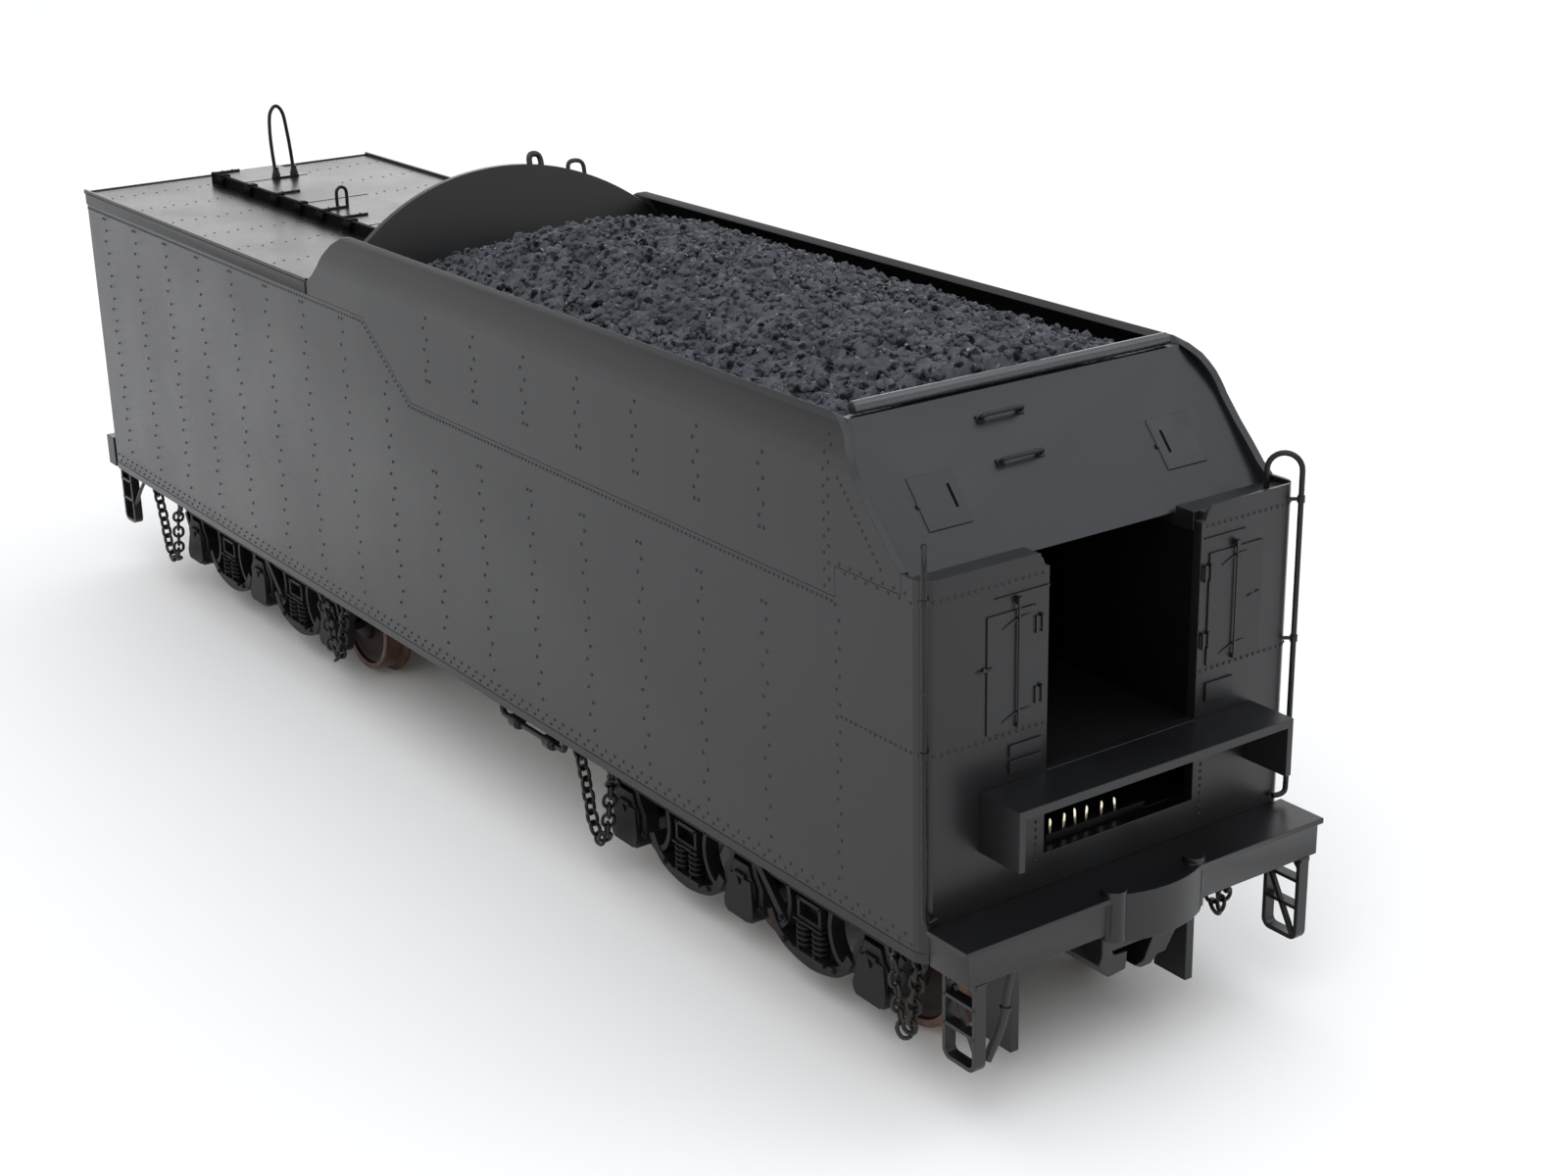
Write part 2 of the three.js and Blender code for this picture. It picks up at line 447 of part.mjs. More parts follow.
// Curved air hose under the platform, and the brake pipe with its fittings under the left side.
add('air_hose', 'wire', wire([[-12.2, -3.0, FRAME_Z + 2.55], [-12.3, -3.0, -1.0], [-12.7, -3.0, -2.6],
  [-13.0, -3.0, -4.4], [-13.7, -3.0, -6.1], [-14.6, -3.0, -7.6]], 0.42, 8, 10))
add('brake_pipe', 'wire', join(
  wire([[-14, 67.6, FRAME_Z], [-14, 67.6, -3.9], [-14, 67.0, -4.4], [-14, 57.0, -4.4], [-14, 56.3, -3.9],
    [-14, 56.3, FRAME_Z]], 0.33, 8),
  ...[65.0, 58.9].map(y => rod([-14, y - 0.8, -4.4], [-14, y + 0.8, -4.4], 0.65, 8))))

// ---------------------------------------------------------------- inside the tank
add('ballast_weight', 'steel', box(-12.5, 12.5, 50, 104, 1.6, 9.6))
add('circuit_board', 'board', box(-11, 11, 1.4, 46, BOARD_Z, BOARD_Z + 1))
const PIN_X = [-4.84, -3.52, -2.37, -1.31, 0.2, 1.56]
add('connector_pins', 'pin', join(box(-5.4, 4.4, 1.4, 2.2, 5.2, 5.75),
  ...PIN_X.map(x => box(x - 0.16, x + 0.16, 1.6, 2.0, 5.65, 6.95))))

// ---------------------------------------------------------------- trucks
// Side frame of a six-wheel truck: three journal boxes hung in one cast frame, with a coil spring
// group and its seat between each pair, and a curved equaliser below each group.
const FRAME_IN = 12.2, FRAME_OUT = 13.5, BOX_OUT = 15.0
function journalBox(s) {
  return prism('x', [[s - 1.0, -4.6], [s + 1.0, -4.6], [s + 1.3, -5.6], [s + 1.9, -6.0], [s + 1.9, -8.8],
    [s + 1.3, -9.7], [s - 1.3, -9.7], [s - 1.9, -8.8], [s - 1.9, -6.0], [s - 1.3, -5.6]], -BOX_OUT, -FRAME_IN)
}
function springGroup(s) {
  const x = -FRAME_OUT - 0.6
  return [
    prism('x', [[s - 1.9, -4.2], [s + 1.9, -4.2], [s + 1.9, -6.3], [s - 1.9, -6.3]],
      x - 0.2, -FRAME_OUT + 0.3, [[[s - 1.3, -5.8], [s + 1.3, -5.8], [s + 1.3, -4.7], [s - 1.3, -4.7]]]),
    ...[-1.05, 1.05].map(d => rod([x, s + d, -8.9], [x, s + d, -6.2], 0.68, 6)),
    box(x - 0.7, -FRAME_OUT + 0.3, s - 2.2, s + 2.2, -9.3, -8.8),
  ]
}
function sideFrame() {
  const web = prism('x', [
    [-21.3, -3.9], [-19.6, -3.0], [19.6, -3.0], [21.3, -3.9], [20.6, -5.6], [19.2, -6.4], [19.2, -8.4],
    [15.8, -8.4], [14.2, -7.6], [12.4, -9.3], [8.75, -10.2], [5.1, -9.3], [3.3, -7.6], [1.7, -8.4],
    [-1.7, -8.4], [-3.3, -7.6], [-5.1, -9.3], [-8.75, -10.2], [-12.4, -9.3], [-14.2, -7.6],
    [-15.8, -8.4], [-19.2, -8.4], [-19.2, -6.4], [-20.6, -5.6]], -FRAME_OUT, -FRAME_IN,
  [-8.75, 8.75].flatMap(s => [
    [[s - 4.0, -4.4], [s - 2.3, -4.4], [s - 2.3, -8.7], [s - 3.2, -8.3], [s - 4.2, -6.6]],
    [[s + 2.3, -4.4], [s + 4.0, -4.4], [s + 4.2, -6.6], [s + 3.2, -8.3], [s + 2.3, -8.7]]]))
  const strut = prism('x', [[-2.0, -3.4], [-2.9, -3.4], [-6.6, -7.0], [-5.8, -7.0]],
    -FRAME_OUT - 0.5, -FRAME_OUT + 0.2)
  const frame = join(web, ...[-AXLE_GAP, 0, AXLE_GAP].map(journalBox),
    ...[-8.75, 8.75].flatMap(springGroup), strut)
  return cut(frame, ...[-AXLE_GAP, 0, AXLE_GAP].map(s =>
    rod([-FRAME_IN - 0.9, s, AXLE_Z], [-FRAME_IN + 0.2, s, AXLE_Z], 0.75, 12)))
}
// Bolster: a centre plate on the pivot, a spine, and a cross beam between each pair of axles.
const bolster = cut(join(
  rod([0, 0, BOSS_Z - 1.2], [0, 0, BOSS_Z], 3.2, 20),
  box(-1.6, 1.6, -10.0, 10.0, BOSS_Z - 1.2, BOSS_Z - 0.2),
  ...[-8.75, 8.75].flatMap(s => [box(-FRAME_IN, FRAME_IN, s - 1.4, s + 1.4, BOSS_Z - 1.2, BOSS_Z - 0.2)])),
rod([0, 0, BOSS_Z - 3], [0, 0, BOSS_Z + 1], 1.15, 16))

// Wheelset: axle and two flanged wheels turned as one.
function wheelset(y) {
  const half = [[0, 12.95], [0.62, 12.35], [0.62, 12.0], [0.9, 11.9], [0.9, 10.1], [TREAD_R - 0.05, 10.1],
    [TREAD_R, 8.1], [FLANGE_R, 7.75], [FLANGE_R - 0.25, 7.3], [1.0, 7.3], [1.0, 0]]
  const profile = [...half.map(([r, x]) => [r, -x]), ...half.slice(0, -1).reverse()]
  const geo = new THREE.LatheGeometry(profile.map(p => new THREE.Vector2(...p)), 20)
  return geo.rotateZ(-Math.PI / 2).translate(0, y, AXLE_Z)
}

// Safety chain: from the truck's corner, down in a slack loop, and up to below the underframe.
function chainLoop(y0, y1, low) {
  const x = -15.9, mid = (y0 + y1) / 2, top = FRAME_Z - 0.45
  return wire([[x, y0, top], [x, y0 + (mid - y0) * 0.3, top - 3.2], [x, y0 + (mid - y0) * 0.6, low + 1.5],
    [x, mid, low], [x, y1 + (mid - y1) * 0.6, low + 1.5], [x, y1 + (mid - y1) * 0.3, top - 2.6],
    [x + 1.2, y1, -3.6], [x + 2.4, y1, -3.6]], 0.42, 5, 11)
}

const ends = ['front', 'rear']
ends.forEach((end, t) => {
  const y = TRUCK_Y[t]
  const left = sideFrame()
  add(`${end}_truck_bolster`, 'truck', shiftY(bolster, y))
  add(`${end}_truck_side_left`, 'truck', shiftY(left, y))
  add(`${end}_truck_side_right`, 'truck', shiftY(mirrorX(left), y))
  for (const k of [-1, 0, 1]) add(`${end}_wheelset_${k + 2}`, 'wheel', wheelset(y + k * AXLE_GAP))
  add(`${end}_pivot_screw`, 'steel', join(
    rod([0, y, BOSS_Z - 1.75], [0, y, BOSS_Z - 1.25], 1.9, 16),
    rod([0, y, BOSS_Z - 1.5], [0, y, 1.0], 0.98, 16)))
})
const chains = [[8.0, 3.6, -8.3], [44.6, 50.5, -9.4], [102.0, 96.2, -8.6], [138.8, 145.6, -9.6]]
chains.forEach(([atTruck, free, low], i) => {
  const chain = chainLoop(free, atTruck, low)
  add(`safety_chain_${i + 1}_left`, 'chain', chain)
  add(`safety_chain_${i + 1}_right`, 'chain', mirrorX(chain))
})

// ---------------------------------------------------------------- rear coupler
const cz = COUPLER_Z, cy = COUPLER_PIVOT_Y
add('coupler_box', 'body', join(
  cut(box(-3.6, 3.6, cy - 3.6, TANK_L + 2.4, cz - 1.5, FRAME_Z),
    box(-2.9, 2.9, cy - 2.9, TANK_L + 5, cz - 0.85, cz + 0.85)),
  rod([0, cy, cz - 1.2], [0, cy, cz + 1.2], 0.7, 12)))
add('rear_coupler', 'wire', cut(join(
  rod([0, cy, cz - 0.7], [0, cy, cz + 0.7], 1.9, 16),
  box(-0.9, 0.9, cy, cy + 9.0, cz - 0.7, cz + 0.7),
  prism('z', [[-0.9, cy + 7.8], [0.9, cy + 7.8], [1.9, cy + 8.9], [2.9, cy + 11.2], [2.5, cy + 12.2],
    [1.7, cy + 12.0], [1.5, cy + 10.3], [0.5, cy + 9.9], [-0.4, cy + 10.4], [-0.3, cy + 11.4],
    [-1.7, cy + 12.2], [-2.2, cy + 11.4], [-1.8, cy + 9.4]], cz - 1.25, cz + 1.25),
  wire([[-1.3, cy + 9.4, cz - 1.1], [-1.4, cy + 9.0, cz - 3.4], [-2.2, cy + 8.0, cz - 5.4],
    [-3.4, cy + 7.0, cz - 5.9]], 0.3, 6)),
rod([0, cy, cz - 2], [0, cy, cz + 2], 0.8, 12)))

// ---------------------------------------------------------------- assembly
const group = new THREE.Group()
group.name = 'coal_tender'
const reach = new THREE.Box3()
for (const [, , geo] of nodes) {
  geo.computeBoundingBox()
  reach.union(geo.boundingBox)
}
const place = new THREE.Vector3(0, -(reach.min.y + reach.max.y) / 2, -reach.min.z)
for (const [name, mat, geo] of nodes) {
  const g = bare(geo)
  g.translate(place.x, place.y, place.z)
  g.computeVertexNormals()
  const mesh = new THREE.Mesh(g, MAT[mat])
  mesh.name = name
  group.add(mesh)
}
export default group
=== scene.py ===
# The finished look of the coal tender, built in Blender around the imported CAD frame.
# Shapes are written in millimetres from the tank's front wall (y) and bottom edge (z), as in the
# CAD source; at() turns them into metres in the shared frame.
import math
import random

import bmesh
import bpy
from mathutils import Matrix, Vector, noise


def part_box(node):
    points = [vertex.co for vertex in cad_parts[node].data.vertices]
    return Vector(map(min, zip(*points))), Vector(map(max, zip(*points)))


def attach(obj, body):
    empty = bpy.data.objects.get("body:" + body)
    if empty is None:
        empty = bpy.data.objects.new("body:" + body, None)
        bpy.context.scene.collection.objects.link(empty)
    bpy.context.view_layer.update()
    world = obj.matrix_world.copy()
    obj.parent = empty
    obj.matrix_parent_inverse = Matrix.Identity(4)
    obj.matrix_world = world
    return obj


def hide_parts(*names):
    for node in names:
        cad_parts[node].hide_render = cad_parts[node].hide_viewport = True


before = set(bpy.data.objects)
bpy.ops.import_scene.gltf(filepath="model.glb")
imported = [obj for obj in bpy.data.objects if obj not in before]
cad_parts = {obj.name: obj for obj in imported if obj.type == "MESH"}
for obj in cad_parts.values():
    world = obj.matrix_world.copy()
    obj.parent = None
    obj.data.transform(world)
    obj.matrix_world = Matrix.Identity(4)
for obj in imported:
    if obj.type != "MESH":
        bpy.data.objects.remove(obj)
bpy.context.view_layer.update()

# ---------------------------------------------------------------- datums
# Heights (z), places along the tank (y) and radii in millimetres; FRONT and DATUM in metres.
MM = 0.001
DECK_Z, ROOF_EDGE_Z, ROOF_Z, SEAM_Z, FRAME_Z = 32.2, 28.0, 27.4, 24.7, -0.4
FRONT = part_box("tank_shell")[0].y
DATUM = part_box("rear_deck")[1].z - DECK_Z * MM
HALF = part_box("tank_shell")[1].x / MM
LENGTH = (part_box("tank_shell")[1].y - FRONT) / MM
BEND_Z, BEND_R = 34.0, 5.07
BULKHEAD_Y, BULKHEAD_R, BULKHEAD_TOP, BULKHEAD_LEAN = 85.3, 25.0, 42.1, 0.22
TRUCKS = {"front": 28.7, "rear": 122.3}
AXLE_GAP, AXLE_Z = 17.5, -7.5
# Rivets: the columns' places along the tank, the belts' heights on the cab end, the pitch of the
# coarse and the fine rows, and how far a zigzag row goes to each side.
REAR_COLUMNS = (147.6, 138.9, 130.3, 121.7, 113.2, 104.7, 96.3)
BUNKER_COLUMNS = (70.6, 62.0, 53.4, 44.8, 36.2, 27.6, 19.05)
BELTS, COLUMN_PITCH, SEAM_PITCH, SWAY = (27.0, 15.7), 1.28, 0.62, 0.3
CORNER_R = 1.3  # the tank's two front corners
SEED = 7


def at(p):
    """A point given in the tank's millimetres, in the shared frame."""
    return Vector((p[0] * MM, FRONT + p[1] * MM, DATUM + p[2] * MM))


# ---------------------------------------------------------------- materials
def blank_material(name):
    """A new node material, with its tree and its main shader."""
    material = bpy.data.materials.new(name)
    material.use_nodes = True
    return material, material.node_tree, material.node_tree.nodes["Principled BSDF"]


def node(tree, kind, **values):
    """A new shader node, with some of its settings."""
    made = tree.nodes.new(kind)
    for key, value in values.items():
        setattr(made, key, value)
    return made


def noise_node(tree, coords, scale, detail=3.0, rough=0.55):
    """The grey value of a noise texture; scale is the number of blotches in a metre."""
    made = node(tree, "ShaderNodeTexNoise")
    made.inputs["Scale"].default_value = scale
    made.inputs["Detail"].default_value = detail
    made.inputs["Roughness"].default_value = rough
    tree.links.new(coords, made.inputs["Vector"])
    return made.outputs["Fac"]


def ramp(tree, factor, stops):
    """A colour ramp through stops of (place, grey value or colour)."""
    made = node(tree, "ShaderNodeValToRGB")
    elements = made.color_ramp.elements
    while len(elements) < len(stops):
        elements.new(0.5)
    for element, (place, value) in zip(elements, stops):
        element.position = place
        colour = value if isinstance(value, tuple) else (value,) * 3
        element.color = (*colour, 1)
    tree.links.new(factor, made.inputs["Fac"])
    return made.outputs["Color"]


def blend_colours(tree, factor, first, second, mode="MIX"):
    """Mixes two colours; each value is a number, a colour or another node's output."""
    made = node(tree, "ShaderNodeMix", data_type="RGBA", blend_type=mode)
    for socket, value in ((made.inputs[0], factor), (made.inputs[6], first), (made.inputs[7], second)):
        if isinstance(value, (int, float, tuple)):
            socket.default_value = value
        else:
            tree.links.new(value, socket)
    return made.outputs[2]


def add_relief(tree, shader, texture, height):
    """Bumps of that height in millimetres, where the texture is light."""
    relief = node(tree, "ShaderNodeBump")
    relief.inputs["Distance"].default_value = height * MM
    tree.links.new(texture, relief.inputs["Height"])
    tree.links.new(relief.outputs["Normal"], shader.inputs["Normal"])


def finish_of(name, tones, rough, grain, bump, blotch=90.0, metal=0.0, specular=0.5, dust=0.0):
    """A painted or metal surface: mottled colour, uneven gloss and a fine grain.
    tones are the darker and lighter colour, rough the least and most roughness, grain the size of
    the finest texture in millimetres and bump its height in millimetres, blotch the scale of the
    mottling, and dust how much brighter the few light specks are."""
    material, tree, shader = blank_material(name)
    shader.inputs["Metallic"].default_value = metal
    shader.inputs["Specular IOR Level"].default_value = specular
    coords = node(tree, "ShaderNodeTexCoord").outputs["Object"]
    broad = noise_node(tree, coords, blotch, 4)
    fine = noise_node(tree, coords, 1 / (grain * MM), 2)
    colour = ramp(tree, broad, [(0.35, tones[0]), (0.68, tones[1])])
    if dust:
        specks = ramp(tree, noise_node(tree, coords, 2600, 1), [(0.72, 0.0), (0.78, 1.0)])
        colour = blend_colours(tree, specks, colour, (*[min(1, c * (1 + dust)) for c in tones[1]], 1))
    tree.links.new(colour, shader.inputs["Base Color"])
    uneven = blend_colours(tree, 0.5, broad, fine)
    gloss = ramp(tree, uneven, [(0.38, rough[0]), (0.62, rough[1])])
    tree.links.new(gloss, shader.inputs["Roughness"])
    add_relief(tree, shader, fine, bump)
    return material


PAINT = finish_of("satin_black", ((0.0042, 0.0043, 0.0048), (0.0068, 0.0070, 0.0078)), (0.30, 0.38),
                  0.16, 0.004, specular=0.45, dust=0.6)
PAINT_DULL = finish_of("truck_black", ((0.0042, 0.0040, 0.0042), (0.0095, 0.0088, 0.0090)), (0.45, 0.58),
                       0.2, 0.010, specular=0.22, dust=0.8)
# A black lighter than the satin paint: a painted highlight for the bright reflecting line along the slope
# sheet's top bar.
PAINTED_HIGHLIGHT_BLACK = finish_of("painted_highlight_black", ((0.012, 0.0125, 0.014), (0.024, 0.025, 0.029)), (0.24, 0.34),
                   0.14, 0.004, specular=0.8, dust=0.6)
SHADE = finish_of("shadow_black", ((0.0008, 0.0008, 0.0009), (0.0016, 0.0016, 0.0017)), (0.6, 0.8),
                  0.3, 0.004, specular=0.06)
WIRE = finish_of("wire_black", ((0.005, 0.005, 0.0053), (0.010, 0.010, 0.0108)), (0.24, 0.36),
                 0.12, 0.004, specular=0.28, dust=1.5)
CHAIN = finish_of("chain_black", ((0.010, 0.009, 0.008), (0.030, 0.026, 0.023)), (0.28, 0.42),
                  0.12, 0.01, metal=0.6, dust=1.0)
TREAD = finish_of("wheel_tread", ((0.09, 0.048, 0.036), (0.19, 0.115, 0.085)), (0.24, 0.36),
                  0.1, 0.004, blotch=300, metal=1.0)
WHEEL = finish_of("wheel_face", ((0.008, 0.004, 0.0035), (0.022, 0.009, 0.007)), (0.48, 0.6),
                  0.15, 0.008, blotch=400, specular=0.2)
STEEL = finish_of("weight_steel", ((0.30, 0.30, 0.31), (0.45, 0.45, 0.46)), (0.32, 0.5),
                  0.2, 0.01, blotch=200, metal=1.0)
BOARD = finish_of("board_green", ((0.003, 0.009, 0.005), (0.005, 0.014, 0.008)), (0.3, 0.4), 0.3, 0.004)
GOLD = finish_of("contact_gold", ((0.86, 0.72, 0.48), (0.98, 0.92, 0.80)), (0.12, 0.2), 0.2, 0.002,
                 blotch=900, metal=1.0)
RUBBER = finish_of("hose_black", ((0.006, 0.006, 0.006), (0.011, 0.011, 0.011)), (0.36, 0.5), 0.15, 0.008)


def coal_finish():
    """Cast coal: grey patches, painted shade in small round pits and a few painted highlights."""
    material, tree, shader = blank_material("coal")
    shader.inputs["Specular IOR Level"].default_value = 0.14
    coords = node(tree, "ShaderNodeTexCoord").outputs["Object"]
    patches = noise_node(tree, coords, 420, 4)
    tone = ramp(tree, patches, [(0.35, (0.038, 0.040, 0.045)), (0.68, (0.075, 0.079, 0.088))])
    # Painted shade: near-black colour in small round pits stands in for the shade in the crevices between
    # grains.
    pits = node(tree, "ShaderNodeTexVoronoi")
    pits.inputs["Scale"].default_value = 860
    tree.links.new(coords, pits.inputs["Vector"])
    pit_shade_mask = ramp(tree, pits.outputs["Distance"], [(0.33, 0.0), (0.44, 1.0)])
    some = ramp(tree, noise_node(tree, coords, 800, 1), [(0.41, 1.0), (0.48, 0.0)])
    outside_pit_shade = blend_colours(tree, 1.0, pit_shade_mask, some, "ADD")
    colour = blend_colours(tree, outside_pit_shade, (0.004, 0.0045, 0.006, 1), tone)
    # Painted highlights: a few light grey specks stand in for glints on the lumps.
    painted_highlights = ramp(tree, noise_node(tree, coords, 2400, 1), [(0.70, 0.0), (0.76, 1.0)])
    colour = blend_colours(tree, painted_highlights, colour, (0.20, 0.21, 0.235, 1))
    tree.links.new(colour, shader.inputs["Base Color"])
    gloss = ramp(tree, noise_node(tree, coords, 1500, 2), [(0.35, 0.46), (0.65, 0.72)])
    tree.links.new(gloss, shader.inputs["Roughness"])
    add_relief(tree, shader, noise_node(tree, coords, 3600, 3), 0.05)
    return material


COAL = coal_finish()


# ---------------------------------------------------------------- shapes
def arc(cx, cy, r, start, end, steps):
    """Points on an arc, angles in degrees."""
    turns = [math.radians(start + (end - start) * i / steps) for i in range(steps + 1)]
    return [(cx + r * math.cos(a), cy + r * math.sin(a)) for a in turns]


def smooth_path(points, steps):
    """A Catmull-Rom curve through points, with steps stretches between each two."""
    p = [Vector(q) for q in points]
    p = [2 * p[0] - p[1], *p, 2 * p[-1] - p[-2]]
    out = []
    for i in range(1, len(p) - 2):
        a, b, c, d = p[i - 1:i + 3]
        for k in range(steps):
            t = k / steps
            out.append(0.5 * (2 * b + (c - a) * t + (2 * a - 5 * b + 4 * c - d) * t * t
                              + (3 * b - a - 3 * c + d) * t ** 3))
    return [*out, p[-2]]


BOX_FACES = [(0, 1, 3, 2), (4, 6, 7, 5), (0, 4, 5, 1), (2, 3, 7, 6), (0, 2, 6, 4), (1, 5, 7, 3)]


class Shape:
    """Closed bodies collected into one piece, in millimetres."""

    def __init__(self):
        self.points, self.faces, self.slots = [], [], []

    def add(self, points, faces, slot=0):
        start = len(self.points)
        self.points += [tuple(p) for p in points]
        self.faces += [tuple(start + i for i in face) for face in faces]
        self.slots += [slot] * len(faces)
        return self

    def join(self, other, shift=(0, 0, 0), flip=False):
        """Takes in another shape's bodies, moved or mirrored to the left side."""
        side = -1 if flip else 1
        moved = [(side * p[0] + shift[0], p[1] + shift[1], p[2] + shift[2]) for p in other.points]
        start = len(self.points)
        self.points += moved
        self.faces += [tuple(start + i for i in face) for face in other.faces]
        self.slots += other.slots
        return self

    def box(self, x0, x1, y0, y1, z0, z1):
        points = [(x, y, z) for x in (x0, x1) for y in (y0, y1) for z in (z0, z1)]
        return self.add(points, BOX_FACES)

    def prism(self, axis, outline, low, high):
        """An outline pushed along one axis: (y, z) along x, (x, z) along y, (x, y) along z."""
        place = {"x": lambda a, b, t: (t, a, b),
                 "y": lambda a, b, t: (a, t, b),
                 "z": lambda a, b, t: (a, b, t)}
        n = len(outline)
        points = [place[axis](a, b, t) for t in (low, high) for a, b in outline]
        sides = [(i, (i + 1) % n, n + (i + 1) % n, n + i) for i in range(n)]
        return self.add(points, [tuple(range(n)), tuple(range(2 * n - 1, n - 1, -1)), *sides])

    def band(self, path, width, x0, x1, closed=False):
        """A flat bar of that width that follows a path of (y, z) points, between two x planes."""
        path = [Vector(p) for p in path]
        n = len(path)
        left, right = [], []
        for i, p in enumerate(path):
            before = path[i - 1] if i or closed else 2 * p - path[1]
            after = path[(i + 1) % n] if i < n - 1 or closed else 2 * p - path[i - 1]
            a, b = (p - before).normalized(), (after - p).normalized()
            along = (a + b).normalized()
            out = Vector((-along.y, along.x)) * width / 2 / max(0.5, along.dot(b))
            left.append(p + out)
            right.append(p - out)
        return self.rings([[(x0, *l), (x0, *r), (x1, *r), (x1, *l)] for l, r in zip(left, right)], closed)

    def rings(self, rings, closed=False, slot=0):
        """Skins a row of rings that have the same number of points."""
        n, count = len(rings[0]), len(rings)
        faces = []
        for i in range(count if closed else count - 1):
            j = (i + 1) % count
            for k in range(n):
                m = (k + 1) % n
                faces.append((i * n + k, i * n + m, j * n + m, j * n + k))
        if not closed:
            faces += [tuple(range(n - 1, -1, -1)), tuple(range((count - 1) * n, count * n))]
        return self.add([p for ring in rings for p in ring], faces, slot)

    def tube(self, path, radius, sides=10, closed=False):
        """A round wire; radius is one number or one for each point of the path."""
        path = [Vector(p) for p in path]
        n = len(path)
        radii = radius if isinstance(radius, (list, tuple)) else [radius] * n
        rings, normal = [], None
        for i, p in enumerate(path):
            before = path[i - 1] if i or closed else p
            after = path[(i + 1) % n] if i < n - 1 or closed else p
            a, b = p - before, after - p
            along = (a.normalized() + b.normalized()).normalized()
            if normal is None:
                normal = along.orthogonal().normalized()
                if closed:
                    normal = (path[0] - sum(path, Vector()) / n).cross(along).normalized()
            normal = (normal - along * normal.dot(along)).normalized()
            side = along.cross(normal)
            turns = [2 * math.pi * k / sides for k in range(sides)]
            rings.append([p + (normal * math.cos(w) + side * math.sin(w)) * radii[i] for w in turns])
        return self.rings(rings, closed)

    def lathe(self, profile, centre, axis="x", sides=32, slots=None):
        """Profile points are (radius, distance along the axis); the first and last have radius 0
        or the profile is closed."""
        turns = [2 * math.pi * k / sides for k in range(sides)]
        place = {"x": lambda r, d, w: (d, r * math.cos(w), r * math.sin(w)),
                 "y": lambda r, d, w: (r * math.cos(w), d, r * math.sin(w)),
                 "z": lambda r, d, w: (r * math.cos(w), r * math.sin(w), d)}[axis]
        rings = [[Vector(centre) + Vector(place(r, d, w)) for w in turns] for r, d in profile]
        for i in range(len(rings) - 1):
            faces = [(k, (k + 1) % sides, sides + (k + 1) % sides, sides + k) for k in range(sides)]
            self.add([*rings[i], *rings[i + 1]], faces, slots[i] if slots else 0)
        return self

    def dome(self, p, normal, radius, height, sides=6):
        """A rivet head."""
        normal = Vector(normal).normalized()
        u = normal.orthogonal().normalized()
        v = normal.cross(u)
        turns = [2 * math.pi * k / sides for k in range(sides)]
        levels = [(1.0, -0.15), (0.98, 0.25), (0.62, 0.82)]
        points = [Vector(p) + (u * math.cos(w) + v * math.sin(w)) * radius * r + normal * height * h
                  for r, h in levels for w in turns]
        points.append(Vector(p) + normal * height)
        faces = [(i * sides + k, i * sides + (k + 1) % sides, (i + 1) * sides + (k + 1) % sides,
                  (i + 1) * sides + k) for i in range(2) for k in range(sides)]
        faces += [(2 * sides + k, 2 * sides + (k + 1) % sides, 3 * sides) for k in range(sides)]
        return self.add(points, faces)

    def bolt(self, p, normal, radius=0.28, height=0.25):
        """A hexagon nut with a rounded end."""
        normal = Vector(normal).normalized()
        base = Vector(p) - normal * 0.1
        self.tube([base, base + normal * (height + 0.1)], radius, 6)
        return self.dome(base + normal * (height + 0.08), normal, radius * 0.5, radius * 0.5, 8)


def make_object(name, mesh, materials, body, replaces, bevel, sharp):
    """Puts a mesh in the scene, with its edges rounded by bevel millimetres."""
    mesh.shade_smooth()
    mesh.set_sharp_from_angle(angle=math.radians(sharp))
    obj = bpy.data.objects.new(name, mesh)
    bpy.context.scene.collection.objects.link(obj)
    for material in materials:
        mesh.materials.append(material)
    if bevel:
        edges = obj.modifiers.new("edges", "BEVEL")
        edges.width = bevel * MM
        edges.segments = 2
        edges.limit_method = "ANGLE"
        edges.angle_limit = math.radians(32)
        edges.use_clamp_overlap = False
        edges.harden_normals = True
    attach(obj, body)
    if replaces:
        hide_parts(*replaces)
    return obj


def piece(name, shape, material, body="tender", replaces=(), bevel=0.0, sharp=35,
          weld=False):
    """One finished piece made from a Shape."""
    mesh = bpy.data.meshes.new(name)
    mesh.from_pydata([at(p) for p in shape.points], [], shape.faces)
    mesh.polygons.foreach_set("material_index", shape.slots)
    bm = bmesh.new()
    bm.from_mesh(mesh)
    if weld:
        bmesh.ops.remove_doubles(bm, verts=bm.verts, dist=0.002 * MM)
    bmesh.ops.recalc_face_normals(bm, faces=bm.faces)
    bm.to_mesh(mesh)
    bm.free()
    materials = material if isinstance(material, (list, tuple)) else [material]
    replaces = (replaces,) if isinstance(replaces, str) else replaces
    return make_object(name, mesh, materials, body, replaces, bevel, sharp)


def refined(name, material=PAINT, body="tender", bevel=0.09, sharp=35):
    """The CAD solid itself with clean faces and rounded edges."""
    mesh = bpy.data.meshes.new(name + "_finished")
    bm = bmesh.new()
    bm.from_mesh(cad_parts[name].data)
    bmesh.ops.remove_doubles(bm, verts=bm.verts, dist=0.002 * MM)
    bmesh.ops.dissolve_limit(bm, angle_limit=math.radians(0.6), verts=bm.verts, edges=bm.edges)
    bmesh.ops.recalc_face_normals(bm, faces=bm.faces)
    bm.to_mesh(mesh)
    bm.free()
    return make_object(name + "_finished", mesh, [material], body, (name,), bevel, sharp)


